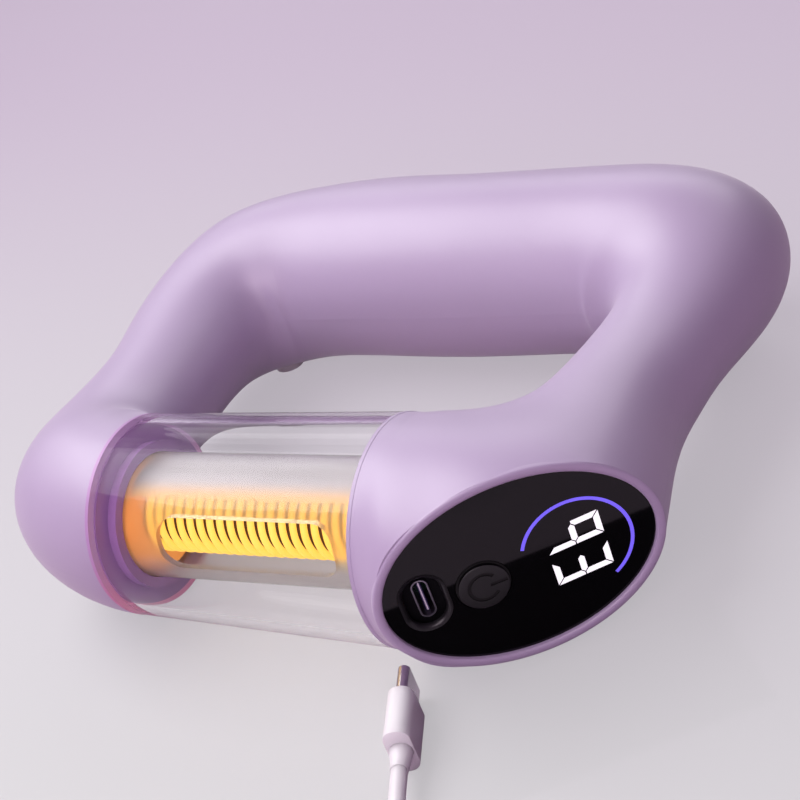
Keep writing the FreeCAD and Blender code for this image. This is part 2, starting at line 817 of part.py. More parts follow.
def slot_block(label, width, height, along, bottom, top):
    """Upright slot-shaped block on the panel, its ends half round."""
    block = box(
        label + "_block",
        height,
        width,
        f"({top}) - ({bottom})",
        on_panel(f"{along} - ({height}) / 2", bottom, f"-({width}) / 2"),
        ON_PANEL,
    )
    return rounded(label, block, f"0.49 * ({height})")


panel_lens = cut(
    "panel_lens",
    panel_oval("lens_plate", "lens_long", "lens_short", LENS_BACK, LENS_FACE),
    panel_cylinder(
        "lens_button_hole", "button_radius + button_gap", "button_along", LENS_BACK, LENS_FACE, "button_rise"
    ),
    slot_block("lens_port_hole", "port_tall", "port_across", "port_along", LENS_BACK, LENS_FACE),
)
FLANGE_TOP = f"{LENS_BACK} - stop_gap"
FLANGE_BACK = f"{FLANGE_TOP} - button_flange"
FLANGE_FLOOR = f"{FLANGE_BACK} - button_travel - stem_gap"
SWITCH_TOP = f"{BOARD_FACE} + switch_height"
PLUNGER_TOP = f"{SWITCH_TOP} + plunger_rise"
CUP_BACK = "-lens_sink - port_depth - port_floor"
LAMP_BACK = f"{LENS_BACK} - stop_gap - lamp_thick"
frame_posts = [
    panel_cylinder(f"frame_post_{number}", "post_radius", along, BOARD_FACE, FRAME_BACK, rise)
    for number, (along, rise) in enumerate(
        (
            ("board_long / 2", "board_short / 2 + post_radius"),
            ("board_long / 2", "-board_short / 2 - post_radius"),
            ("-board_long / 2", "board_short / 2 + post_radius"),
            ("-board_long / 2", "-board_short / 2 - post_radius"),
        ),
        1,
    )
]
panel_frame = cut(
    "panel_frame",
    fuse(
        "frame_blank",
        panel_oval("frame_plate", "lens_long", "lens_short", FRAME_BACK, LENS_BACK),
        *frame_posts,
    ),
    panel_cylinder(
        "flange_pocket",
        "button_radius + button_lip + stem_gap",
        "button_along",
        FLANGE_FLOOR,
        LENS_BACK,
        "button_rise",
    ),
    panel_cylinder(
        "stem_hole", "stem_radius + stem_gap", "button_along", FRAME_BACK, LENS_BACK, "button_rise"
    ),
    slot_block("cup_pocket", "port_tall", "port_across", "port_along", CUP_BACK, LENS_BACK),
    panel_cylinder("socket_hole", "socket_width / 2 + fit_gap", "port_along", FRAME_BACK, LENS_BACK),
    panel_cylinder(
        "lamp_pocket", "arc_outer + fit_gap", "display_along", LAMP_BACK, LENS_BACK, "display_rise"
    ),
)
power_button = turned(
    "power_button",
    [
        ("0", LENS_FACE),
        ("button_radius", LENS_FACE),
        ("button_radius", FLANGE_TOP),
        ("button_radius + button_lip", FLANGE_TOP),
        ("button_radius + button_lip", FLANGE_BACK),
        ("stem_radius", FLANGE_BACK),
        ("stem_radius", PLUNGER_TOP),
        ("0", PLUNGER_TOP),
    ],
    on_panel("button_along", "0", "button_rise"),
    ON_PANEL,
)
switch_plunger = panel_cylinder(
    "switch_plunger",
    "plunger_radius",
    "button_along",
    f"{PLUNGER_TOP} - plunger_length",
    PLUNGER_TOP,
    "button_rise",
)
switch_block = box(
    "switch_block",
    "switch_width",
    "switch_width",
    "switch_height",
    on_panel("button_along - switch_width / 2", BOARD_FACE, "button_rise - switch_width / 2"),
    ON_PANEL,
)
tact_switch = cut(
    "tact_switch",
    switch_block,
    panel_cylinder(
        "plunger_hole",
        "plunger_radius + button_gap",
        "button_along",
        f"{PLUNGER_TOP} - plunger_length - button_travel - stem_gap",
        SWITCH_TOP,
        "button_rise",
    ),
)
board_plate = panel_oval("board_plate", "board_long", "board_short", BOARD_BACK, BOARD_FACE)
SOCKET_FACE = "-socket_sink"
CUP_TALL = "port_tall - 2 * fit_gap"
CUP_ACROSS = "port_across - 2 * fit_gap"
CUP_FACE = f"{LENS_FACE} - stop_gap"
port_cup = cut(
    "port_cup",
    slot_block("cup_blank", CUP_TALL, CUP_ACROSS, "port_along", CUP_BACK, CUP_FACE),
    slot_block(
        "cup_hollow",
        f"{CUP_TALL} - 2 * port_wall",
        f"{CUP_ACROSS} - 2 * port_wall",
        "port_along",
        f"{CUP_BACK} + port_floor",
        CUP_FACE,
    ),
    slot_block(
        "cup_slot", "socket_width + fit_gap", "socket_height + fit_gap", "port_along", CUP_BACK, CUP_FACE
    ),
)
usb_socket_shell = cut(
    "usb_socket_shell",
    slot_block("socket_outside", "socket_width", "socket_height", "port_along", BOARD_FACE, SOCKET_FACE),
    slot_block(
        "socket_inside",
        "socket_width - 2 * socket_wall",
        "socket_height - 2 * socket_wall",
        "port_along",
        BOARD_FACE,
        SOCKET_FACE,
    ),
)
usb_tongue = box(
    "usb_tongue",
    "tongue_height",
    "tongue_width",
    f"-tongue_sink - ({BOARD_FACE})",
    on_panel("port_along - tongue_height / 2", BOARD_FACE, "-tongue_width / 2"),
    ON_PANEL,
)
socket_foot = socket_plate("socket_foot", "0", BOARD_BACK, BOARD_FACE)
control_board = fuse("control_board", board_plate, socket_foot)
display_module = panel_cylinder(
    "display_module", "display_radius", "display_along", LAMP_BACK, f"{LENS_BACK} - stop_gap", "display_rise"
)
lamp_disc = panel_cylinder(
    "lamp_disc", "arc_outer", "display_along", LAMP_BACK, f"{LENS_BACK} - stop_gap", "display_rise"
)
lamp_disc.setExpression("Angle", cells("arc_sweep"))
lamp_disc.Placement = Placement(Vector(), ON_PANEL.multiply(Rotation(UP, size("arc_start"))))
light_ring = cut(
    "light_ring",
    lamp_disc,
    panel_cylinder("lamp_core", "arc_inner", "display_along", LAMP_BACK, LENS_BACK, "display_rise"),
)

# Battery: two cells side by side along the grip bar, in a cradle, with a tab across each end.
CELL_BACK = "cell_radius + cell_gap / 2"
CELL_START = "-cell_length / 2"
front_start = on_grip(CELL_START, f"-({CELL_BACK})")
back_start = on_grip(CELL_START, CELL_BACK)
battery_front = cylinder("battery_front", "cell_radius", "cell_length", front_start, ALONG_GRIP)
battery_back = cylinder("battery_back", "cell_radius", "cell_length", back_start, ALONG_GRIP)
CRADLE_RADIUS = "handle_radius - shell_wall - fit_gap"
cradle_round = cylinder("cradle_round", CRADLE_RADIUS, "cell_length", on_grip(CELL_START), ALONG_GRIP)
cradle_half = box(
    "cradle_half",
    "cell_length",
    f"2 * ({CRADLE_RADIUS})",
    CRADLE_RADIUS,
    on_grip(CELL_START, f"-({CRADLE_RADIUS})", f"-({CRADLE_RADIUS})"),
    FLAT_ON_GRIP,
)
CELL_BORE = "cell_radius + fit_gap"
battery_cradle = cut(
    "battery_cradle",
    common("cradle_blank", cradle_round, cradle_half),
    cylinder("front_bore", CELL_BORE, "cell_length", on_grip(CELL_START, f"-({CELL_BACK})"), ALONG_GRIP),
    cylinder("back_bore", CELL_BORE, "cell_length", on_grip(CELL_START, CELL_BACK), ALONG_GRIP),
)
TAB_SPAN = f"2 * ({CELL_BACK}) + tab_width"


def battery_tab(label, along):
    at = on_grip(along, f"-({TAB_SPAN}) / 2", "-tab_width / 2")
    return box(label, "tab_thick", TAB_SPAN, "tab_width", at, FLAT_ON_GRIP)


left_battery_tab = battery_tab("left_battery_tab", "-cell_length / 2 - tab_thick")
right_battery_tab = battery_tab("right_battery_tab", "cell_length / 2")

# Charge lead: plug on the surface, the lead away from it, the rest in a tied coil, and its far plug.


def beyond(start, degrees, distance, across="0", rise="0"):
    """Three rules for a point that far along a heading, to its left and above."""
    turn = f"({degrees}) * 1 deg"
    return (
        f"({start[0]}) + ({distance}) * cos({turn}) - ({across}) * sin({turn})",
        f"({start[1]}) + ({distance}) * sin({turn}) + ({across}) * cos({turn})",
        f"({start[2]}) + ({rise})",
    )


def lengthwise(degrees):
    """Turn that lays a piece's height along a heading, its length to the left and its width up."""
    ahead = heading(degrees)
    return Rotation(UP.cross(ahead), UP, ahead, "XYZ")


def plug_block(label, start, degrees, distance, length, across, tall, corner):
    """Block along a heading with its long edges rounded."""
    block = box(
        label + "_block",
        across,
        tall,
        length,
        beyond(start, degrees, distance, f"-({across}) / 2", f"-({tall}) / 2"),
        lengthwise(size(str(degrees))),
    )
    return rounded(label, block, corner)


tip_point = ("tip_x", "tip_y", "plug_width / 2")
lead_plug_tip = cut(
    "lead_plug_tip",
    plug_block(
        "tip_outside",
        tip_point,
        "plug_heading",
        "0",
        "tip_length",
        "tip_height",
        "tip_width",
        "0.49 * tip_height",
    ),
    plug_block(
        "tip_inside",
        tip_point,
        "plug_heading",
        "0",
        "tip_length - 2 * tip_wall",
        "tip_height - 2 * tip_wall",
        "tip_width - 2 * tip_wall",
        "0.49 * (tip_height - 2 * tip_wall)",
    ),
)
lead_plug_body = plug_block(
    "lead_plug_body",
    tip_point,
    "plug_heading",
    "tip_length",
    "plug_length",
    "plug_height",
    "plug_width",
    "0.45 * plug_height",
)
RELIEF_START = "tip_length + plug_length"
near_lengthwise = lengthwise(size("plug_heading"))
lead_relief = cone(
    "lead_relief",
    "relief_radius",
    "lead_radius + fit_gap",
    "relief_length",
    beyond(tip_point, "plug_heading", RELIEF_START),
    near_lengthwise,
)
lead_rest = size("lead_radius + tie_gap + tie_thick")
relief_end = beyond(tip_point, "plug_heading", f"{RELIEF_START} + relief_length")
lead_start = Vector(*[size(rule) for rule in relief_end])


def runs(start, steps):
    """Route from a point by runs: heading, length and the height reached."""
    points = [start]
    for degrees, length, height in steps:
        step = points[-1] + heading(degrees) * length
        points.append(Vector(step.x, step.y, height))
    return points


lead_points = runs(
    lead_start,
    (
        (size("plug_heading"), 9.0, lead_start.z),
        (-66, 11.0, 3.9),
        (-58, 13.0, 2.5),
        (-47, 15.0, lead_rest),
        (-34, 16.0, lead_rest),
        (-20, 13.0, lead_rest),
    ),
)
charge_lead = tube("charge_lead", laid(lead_points), size("lead_radius"))

# Put-away coil: loops that spiral in, climb a layer in the half turn where they reverse, and spiral out.
LEAD_TURNS = 4
lead_ahead = (lead_points[-1] - lead_points[-2]).normalize()
lead_thick = size("2 * lead_radius")
coil_first = lead_points[-1] + lead_ahead * lead_thick
coil_middle = coil_first + UP.cross(lead_ahead) * size("lead_coil_radius")
coil_angle = math.atan2(coil_first.y - coil_middle.y, coil_first.x - coil_middle.x)


def lead_coil_point(turns):
    inward = min(turns, LEAD_TURNS - turns)
    climb = min(1.0, max(0.0, 2 * (turns - LEAD_TURNS / 2) + 0.5))
    radius = size("lead_coil_radius") - size("lead_step") * inward
    angle = coil_angle + 2 * math.pi * turns
    spoke = Vector(math.cos(angle), math.sin(angle), 0)
    return coil_middle + spoke * radius + UP * (size("lead_step") * climb)


lead_steps = [step / 4 for step in range(4 * LEAD_TURNS + 1)]
lead_headings = [lead_ahead] + [slope(lead_coil_point, turns) for turns in lead_steps[1:-1]] + [lead_ahead]
lead_edges = wound([lead_coil_point(turns) for turns in lead_steps], lead_headings, lead_thick)
lead_coil = tube("lead_coil", lead_edges, size("lead_radius"))
fine = [lead_coil_point(step / 60) for step in range(60 * LEAD_TURNS + 1)]
far_apart = size("1.2 * pi * lead_coil_radius")
least_gap("lead_coil", fine, fine[0].distanceToPoint(fine[1]), lead_thick, far_apart)

# Band round the coil's loops, a quarter turn past their start.
tie_loops = (LEAD_TURNS / 2 - 0.25) * size("lead_step")
tie_inner = size("lead_coil_radius") - tie_loops - size("lead_radius + 2 * tie_gap")
tie_outer = size("lead_coil_radius") - 0.25 * size("lead_step") + size("lead_radius + tie_gap")
tie_turn = Rotation(UP, math.degrees(coil_angle) + 90)
tie_low = -size("lead_radius + tie_gap")
tie_high = size("lead_step + lead_radius + tie_gap")


def tie_box(label, grow):
    """Box round the loops' section, larger by a wall."""
    wall = size("tie_thick") * grow
    corner = Vector(tie_inner - wall, -size("tie_width") / 2, tie_low - wall)
    at = coil_middle + tie_turn.multVec(corner)
    return box(
        label,
        tie_outer - tie_inner + 2 * wall,
        "tie_width",
        tie_high - tie_low + 2 * wall,
        (at.x, at.y, at.z),
        tie_turn,
    )


lead_tie = cut("lead_tie", tie_box("tie_outside", 1), tie_box("tie_inside", 0))

# Far end of the lead: a short tail off the coil's top loop to a wide plug that lies flat.
tail_start = lead_coil_point(LEAD_TURNS) + lead_ahead * lead_thick
far_height = size("far_plug_height / 2")
FAR_HEADING = 12
tail_points = runs(
    tail_start,
    (
        (-20, 8.0, tail_start.z),
        (-9, 10.0, 5.2),
        (3, 10.0, far_height),
        (FAR_HEADING, 8.0, far_height),
    ),
)
lead_tail = tube("lead_tail", laid(tail_points), size("lead_radius"))
far_point = tuple(str(part) for part in tail_points[-1])
lead_far_relief = cone(
    "lead_far_relief",
    "lead_radius + fit_gap",
    "far_relief_radius",
    "far_relief_length",
    far_point,
    lengthwise(FAR_HEADING),
)
lead_far_plug = plug_block(
    "lead_far_plug",
    far_point,
    FAR_HEADING,
    "far_relief_length",
    "far_plug_length",
    "far_plug_width",
    "far_plug_height",
    "0.3 * far_plug_height",
)
FAR_TIP_START = "far_relief_length + far_plug_length"
lead_far_tip = cut(
    "lead_far_tip",
    plug_block(
        "far_tip_outside",
        far_point,
        FAR_HEADING,
        FAR_TIP_START,
        "far_tip_length",
        "far_tip_width",
        "far_tip_height",
        "tip_wall",
    ),
    plug_block(
        "far_tip_inside",
        far_point,
        FAR_HEADING,
        f"{FAR_TIP_START} + 2 * tip_wall",
        "far_tip_length",
        "far_tip_width - 2 * tip_wall",
        "far_tip_height - 2 * tip_wall",
        "tip_wall / 2",
    ),
)

doc.recompute()
pieces = [
    upper_shell,
    lower_shell,
    foot_pads,
    shell_screws,
    clear_sleeve,
    left_bulkhead,
    right_bulkhead,
    heater_tube,
    left_end_cap,
    right_end_cap,
    coil_core,
    heating_coil,
    left_terminal,
    right_terminal,
    thermal_cutoff,
    panel_lens,
    panel_frame,
    power_button,
    switch_plunger,
    tact_switch,
    control_board,
    port_cup,
    usb_socket_shell,
    usb_tongue,
    display_module,
    light_ring,
    battery_front,
    battery_back,
    battery_cradle,
    left_battery_tab,
    right_battery_tab,
    lead_plug_tip,
    lead_plug_body,
    lead_relief,
    charge_lead,
    lead_coil,
    lead_tie,
    lead_tail,
    lead_far_relief,
    lead_far_plug,
    lead_far_tip,
]
broken = [thing.Label for thing in doc.Objects if {"Invalid", "Error"} & set(thing.State)]
broken += [piece.Label for piece in pieces if piece.Shape.isNull() or not piece.Shape.isValid()]
if broken:
    raise RuntimeError("not built: " + ", ".join(broken))
os.makedirs("parts", exist_ok=True)
for piece in pieces:
    piece.Shape.exportStep(f"parts/{piece.Label}.step")
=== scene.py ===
import json
import math

import bmesh
import bpy
from mathutils import Matrix, Vector


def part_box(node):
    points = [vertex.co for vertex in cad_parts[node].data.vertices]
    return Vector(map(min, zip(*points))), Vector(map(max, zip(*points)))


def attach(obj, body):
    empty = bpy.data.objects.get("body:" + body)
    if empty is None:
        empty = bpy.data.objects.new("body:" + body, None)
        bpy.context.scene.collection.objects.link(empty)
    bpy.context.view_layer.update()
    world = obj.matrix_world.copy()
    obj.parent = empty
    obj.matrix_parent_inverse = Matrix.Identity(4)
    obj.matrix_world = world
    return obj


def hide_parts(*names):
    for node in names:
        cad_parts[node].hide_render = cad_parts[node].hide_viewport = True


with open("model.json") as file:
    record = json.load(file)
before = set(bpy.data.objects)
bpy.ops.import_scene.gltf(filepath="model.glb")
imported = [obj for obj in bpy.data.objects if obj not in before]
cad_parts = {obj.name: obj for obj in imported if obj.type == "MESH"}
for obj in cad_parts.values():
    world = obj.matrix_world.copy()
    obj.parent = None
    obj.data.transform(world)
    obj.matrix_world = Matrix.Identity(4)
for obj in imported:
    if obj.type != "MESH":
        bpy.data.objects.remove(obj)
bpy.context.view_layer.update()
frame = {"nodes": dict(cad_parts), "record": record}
scene = bpy.context.scene
scene.view_settings.view_transform = "Standard"

# Studio: a pale floor that turns lilac with distance, in a dim room, seen by a long lens from the right and
# above.  A wide soft box hangs above on the left, a smaller one stands at the left, a strip behind and a
# tinted box in front.  None of it belongs to the heater.
CAMERA_AT = Vector((0.17959, -0.24218, 0.20612))
CAMERA_AIM = Vector((0.00655, -0.00607, 0.0236))
CAMERA_ROLL = -21.337
CAMERA_LENS = 69.6
CAMERA_FILM = 36.0
CAMERA_NEAREST = 0.01
camera = bpy.data.objects.new("camera", bpy.data.cameras.new("camera"))
camera.data.sensor_width = CAMERA_FILM
camera.data.lens = CAMERA_LENS
camera.data.clip_start = CAMERA_NEAREST
toward = (CAMERA_AIM - CAMERA_AT).to_track_quat("-Z", "Y").to_matrix()
turned = toward @ Matrix.Rotation(math.radians(CAMERA_ROLL), 3, "Z")
camera.matrix_world = Matrix.Translation(CAMERA_AT) @ turned.to_4x4()
scene.collection.objects.link(camera)
scene.camera = camera


def new_material(name):
    """A material with its node list, its links and its Principled shader."""
    made = bpy.data.materials.new(name)
    made.use_nodes = True
    nodes = made.node_tree.nodes
    return made, nodes, made.node_tree.links, nodes["Principled BSDF"]


def new_group(name, inputs, outputs):
    """A shader node group with named sockets, and its input and output nodes."""
    group = bpy.data.node_groups.new(name, "ShaderNodeTree")
    for label, kind in inputs:
        group.interface.new_socket(label, in_out="INPUT", socket_type=kind)
    for label, kind in outputs:
        group.interface.new_socket(label, in_out="OUTPUT", socket_type=kind)
    return group, group.nodes.new("NodeGroupInput"), group.nodes.new("NodeGroupOutput")


def set_inputs(node, values):
    """Give a node's sockets constant values by their labels."""
    for label, value in values.items():
        node.inputs[label].default_value = value


def place_group(nodes, group, values):
    """A node group placed in a material with its own values."""
    placed = nodes.new("ShaderNodeGroup")
    placed.node_tree = group
    set_inputs(placed, values)
    return placed


def mesh_piece(name, shape, material, smooth_angle=None):
    """An object from a bmesh, in place; shaded smooth up to an angle if one is given."""
    mesh = bpy.data.meshes.new(name)
    shape.to_mesh(mesh)
    shape.free()
    mesh.materials.append(material)
    if smooth_angle is not None:
        mesh.shade_smooth()
        mesh.set_sharp_from_angle(angle=math.radians(smooth_angle))
    piece = bpy.data.objects.new(name, mesh)
    scene.collection.objects.link(piece)
    return piece


FLOAT = "NodeSocketFloat"
COLOUR = "NodeSocketColor"
VECTOR = "NodeSocketVector"
tone_fade, fade_in, fade_out = new_group(
    "tone_fade",
    [("First", COLOUR), ("Last", COLOUR), ("Direction", VECTOR), ("From", FLOAT), ("To", FLOAT)],
    [("Colour", COLOUR)],
)
nodes, links = tone_fade.nodes, tone_fade.links
spot = nodes.new("ShaderNodeTexCoord")
along = nodes.new("ShaderNodeVectorMath")
along.operation = "DOT_PRODUCT"
fade = nodes.new("ShaderNodeMapRange")
fade.interpolation_type = "SMOOTHSTEP"
tones = nodes.new("ShaderNodeMix")
tones.data_type = "RGBA"
links.new(spot.outputs["Object"], along.inputs[0])
links.new(fade_in.outputs["Direction"], along.inputs[1])
links.new(along.outputs["Value"], fade.inputs["Value"])
links.new(fade_in.outputs["From"], fade.inputs["From Min"])
links.new(fade_in.outputs["To"], fade.inputs["From Max"])
links.new(fade.outputs["Result"], tones.inputs["Factor"])
links.new(fade_in.outputs["First"], tones.inputs["A"])
links.new(fade_in.outputs["Last"], tones.inputs["B"])
links.new(tones.outputs["Result"], fade_out.inputs["Colour"])

FLOOR_SIZE = 6.0
FLOOR_NEAR = (0.188, 0.188, 0.189, 1)
FLOOR_FAR = (0.155, 0.129, 0.163, 1)
FLOOR_TURNS_FROM = -0.2
FLOOR_TURNS_TO = 0.3
FLOOR_GLOW = 2.5
FLOOR_MIRRORED = 0.4
FLOOR_BOUNCE = (0.33, 0.20, 0.31, 1)
FLOOR_ROUGHNESS = 0.6
BACKWARD = Vector((0, 1, 0))
floor_finish, nodes, links, shader = new_material("studio_floor")
shader.inputs["Roughness"].default_value = FLOOR_ROUGHNESS
floor_tone = place_group(
    nodes,
    tone_fade,
    {
        "First": FLOOR_NEAR,
        "Last": FLOOR_FAR,
        "Direction": BACKWARD,
        "From": FLOOR_TURNS_FROM,
        "To": FLOOR_TURNS_TO,
    },
)
links.new(floor_tone.outputs["Colour"], shader.inputs["Emission Color"])
path = nodes.new("ShaderNodeLightPath")
mirrored = nodes.new("ShaderNodeMath")
mirrored.operation = "MULTIPLY_ADD"
mirrored.inputs[1].default_value = FLOOR_MIRRORED
links.new(path.outputs["Is Glossy Ray"], mirrored.inputs[0])
links.new(path.outputs["Is Transmission Ray"], mirrored.inputs[2])
seen = nodes.new("ShaderNodeMath")
seen.operation = "MAXIMUM"
seen.use_clamp = True
links.new(path.outputs["Is Camera Ray"], seen.inputs[0])
links.new(mirrored.outputs["Value"], seen.inputs[1])
glow = nodes.new("ShaderNodeMath")
glow.operation = "MULTIPLY"
glow.inputs[1].default_value = FLOOR_GLOW
links.new(seen.outputs["Value"], glow.inputs[0])
links.new(glow.outputs["Value"], shader.inputs["Emission Strength"])
ground = nodes.new("ShaderNodeMix")
ground.data_type = "RGBA"
ground.inputs["A"].default_value = FLOOR_BOUNCE
links.new(seen.outputs["Value"], ground.inputs["Factor"])
links.new(floor_tone.outputs["Colour"], ground.inputs["B"])
links.new(ground.outputs["Result"], shader.inputs["Base Color"])
shape = bmesh.new()
bmesh.ops.create_grid(shape, x_segments=1, y_segments=1, size=FLOOR_SIZE / 2)
floor = mesh_piece("studio_floor", shape, floor_finish)

ROOM_AWAY = (0.3, 0.8, -0.5)
ROOM_LIT_UP_TO = -0.8
ROOM_DARK_FROM = 0.6
ROOM_LIT = (0.28, 0.19, 0.275, 1)
ROOM_DARK = (0.06, 0.04, 0.075, 1)
BACKDROP = (0.52, 0.46, 0.54, 1)
world = bpy.data.worlds.new("studio")
world.use_nodes = True
nodes, links = world.node_tree.nodes, world.node_tree.links
spot = nodes.new("ShaderNodeTexCoord")
away = nodes.new("ShaderNodeVectorMath")
away.operation = "DOT_PRODUCT"
away.inputs[1].default_value = ROOM_AWAY
dim = nodes.new("ShaderNodeMapRange")
set_inputs(dim, {"From Min": ROOM_LIT_UP_TO, "From Max": ROOM_DARK_FROM})
room = nodes.new("ShaderNodeMix")
room.data_type = "RGBA"
set_inputs(room, {"A": ROOM_LIT, "B": ROOM_DARK})
links.new(spot.outputs["Generated"], away.inputs[0])
links.new(away.outputs["Value"], dim.inputs["Value"])
links.new(dim.outputs["Result"], room.inputs["Factor"])
path = nodes.new("ShaderNodeLightPath")
seen = nodes.new("ShaderNodeMath")
seen.operation = "MAXIMUM"
links.new(path.outputs["Is Camera Ray"], seen.inputs[0])
links.new(path.outputs["Is Transmission Ray"], seen.inputs[1])
backdrop = nodes.new("ShaderNodeMix")
backdrop.data_type = "RGBA"
backdrop.inputs["B"].default_value = BACKDROP
links.new(seen.outputs["Value"], backdrop.inputs["Factor"])
links.new(room.outputs["Result"], backdrop.inputs["A"])
links.new(backdrop.outputs["Result"], nodes["Background"].inputs["Color"])
scene.world = world

LAMP_AIM = Vector((0, 0, 0.02))


def soft_box(name, at, wide, tall, power, tint=(1, 1, 1)):
    """A rectangular lamp that faces the heater."""
    lamp = bpy.data.lights.new(name, "AREA")
    lamp.shape = "RECTANGLE"
    lamp.size = wide
    lamp.size_y = tall
    lamp.energy = power
    lamp.color = tint
    holder = bpy.data.objects.new(name, lamp)
    place = Vector(at)
    facing = (LAMP_AIM - place).to_track_quat("-Z", "Y")
    holder.matrix_world = Matrix.Translation(place) @ facing.to_matrix().to_4x4()
    scene.collection.objects.link(holder)


soft_box("top_box", at=(-0.36, -0.05, 0.66), wide=0.7, tall=0.55, power=4.6)
soft_box("left_box", at=(-0.6, 0.1, 0.45), wide=0.6, tall=0.5, power=0.9)
soft_box("back_strip", at=(-0.15, 0.8, 0.5), wide=1.2, tall=0.3, power=2.5)
soft_box("front_box", at=(0.10, -0.52, 0.38), wide=0.5, tall=0.3, power=1.6, tint=(1.0, 0.85, 0.95))

# Loop: two moulded halves of lilac satin plastic, screwed together from below with zinc plated screws, on
# four soft rubber feet.  The finish is a fine even grain with slow changes of tone and gloss.
MOTTLE_DETAIL = 3.0
GRAIN_DETAIL = 2.0
GRAIN_HEIGHT = 0.00005
NOISE_MIDDLE = 0.5
moulded_skin, skin_in, skin_out = new_group(
    "moulded_skin",
    [
        ("Colour", COLOUR),
        ("Shade", COLOUR),
        ("Mottle", FLOAT),
        ("Grain", FLOAT),
        ("Roughness", FLOAT),
        ("Spread", FLOAT),
    ],
    [("Colour", COLOUR), ("Roughness", FLOAT), ("Height", FLOAT)],
)
nodes, links = moulded_skin.nodes, moulded_skin.links
spot = nodes.new("ShaderNodeTexCoord")
mottle = nodes.new("ShaderNodeTexNoise")
mottle.inputs["Detail"].default_value = MOTTLE_DETAIL
grain = nodes.new("ShaderNodeTexNoise")
grain.inputs["Detail"].default_value = GRAIN_DETAIL
blend = nodes.new("ShaderNodeMix")
blend.data_type = "RGBA"
uneven = nodes.new("ShaderNodeMath")
uneven.operation = "MULTIPLY_ADD"
centred = nodes.new("ShaderNodeMath")
centred.operation = "SUBTRACT"
centred.inputs[1].default_value = NOISE_MIDDLE
links.new(spot.outputs["Object"], mottle.inputs["Vector"])
links.new(spot.outputs["Object"], grain.inputs["Vector"])
links.new(skin_in.outputs["Mottle"], mottle.inputs["Scale"])
links.new(skin_in.outputs["Grain"], grain.inputs["Scale"])
links.new(mottle.outputs["Fac"], blend.inputs["Factor"])
links.new(skin_in.outputs["Colour"], blend.inputs["A"])
links.new(skin_in.outputs["Shade"], blend.inputs["B"])
links.new(mottle.outputs["Fac"], centred.inputs[0])
links.new(centred.outputs["Value"], uneven.inputs[0])
links.new(skin_in.outputs["Spread"], uneven.inputs[1])
links.new(skin_in.outputs["Roughness"], uneven.inputs[2])
links.new(blend.outputs["Result"], skin_out.inputs["Colour"])
links.new(uneven.outputs["Value"], skin_out.inputs["Roughness"])
links.new(grain.outputs["Fac"], skin_out.inputs["Height"])


def skinned(
    name, colour, shade, roughness, mottle=40.0, grain=2500.0, spread=0.1, bump=0.05, metallic=0.0
):
    """A finish with two close tones, uneven gloss and a fine grain."""
    made, nodes, links, shader = new_material(name)
    skin = place_group(
        nodes,
        moulded_skin,
        {
            "Colour": (*colour, 1),
            "Shade": (*shade, 1),
            "Mottle": mottle,
            "Grain": grain,
            "Roughness": roughness,
            "Spread": spread,
        },
    )
    skin.name = "skin"
    relief = nodes.new("ShaderNodeBump")
    set_inputs(relief, {"Strength": bump, "Distance": GRAIN_HEIGHT})
    links.new(skin.outputs["Colour"], shader.inputs["Base Color"])
    links.new(skin.outputs["Roughness"], shader.inputs["Roughness"])
    links.new(skin.outputs["Height"], relief.inputs["Height"])
    links.new(relief.outputs["Normal"], shader.inputs["Normal"])
    shader.inputs["Metallic"].default_value = metallic
    return made


METAL_MOTTLE = 900.0


def bare_metal(name, colour, shade, roughness):
    """A bright metal with a close mottle."""
    return skinned(name, colour, shade, roughness, mottle=METAL_MOTTLE, metallic=1.0)


def shader_of(finish):
    """The Principled shader of a finish."""
    return finish.node_tree.nodes["Principled BSDF"]


def dress(finish, *names):
    """Give CAD pieces a finish in place of the plain one."""
    for name in names:
        frame["nodes"][name].material_slots[0].material = finish


LILAC = (0.475, 0.385, 0.555)
LILAC_SHADE = (0.45, 0.365, 0.53)
lilac_satin = skinned("lilac_satin", LILAC, LILAC_SHADE, roughness=0.42)
set_inputs(
    shader_of(lilac_satin),
    {"Specular IOR Level": 1.0, "Sheen Weight": 0.35, "Sheen Roughness": 0.45},
)
dress(lilac_satin, "upper_shell", "lower_shell")

RUBBER = (0.80, 0.77, 0.80)
RUBBER_SHADE = (0.75, 0.72, 0.75)
foot_rubber = skinned("foot_rubber", RUBBER, RUBBER_SHADE, roughness=0.6, grain=1800.0, bump=0.2)
dress(foot_rubber, "foot_pads")
ZINC = (0.55, 0.56, 0.58)
ZINC_SHADE = (0.48, 0.49, 0.51)
zinc_steel = bare_metal("zinc_steel", ZINC, ZINC_SHADE, roughness=0.35)
dress(zinc_steel, "shell_screws")

# Bulkheads: the end walls of the cut bar, moulded in a deeper lilac and set into the two open ends of the
# loop.  Each has a collar that holds the sleeve and the heater tube.
COLLAR = (0.25, 0.12, 0.30)
COLLAR_SHADE = (0.23, 0.11, 0.28)
collar_lilac = skinned("collar_lilac", COLLAR, COLLAR_SHADE, roughness=0.3)
dress(collar_lilac, "left_bulkhead", "right_bulkhead")

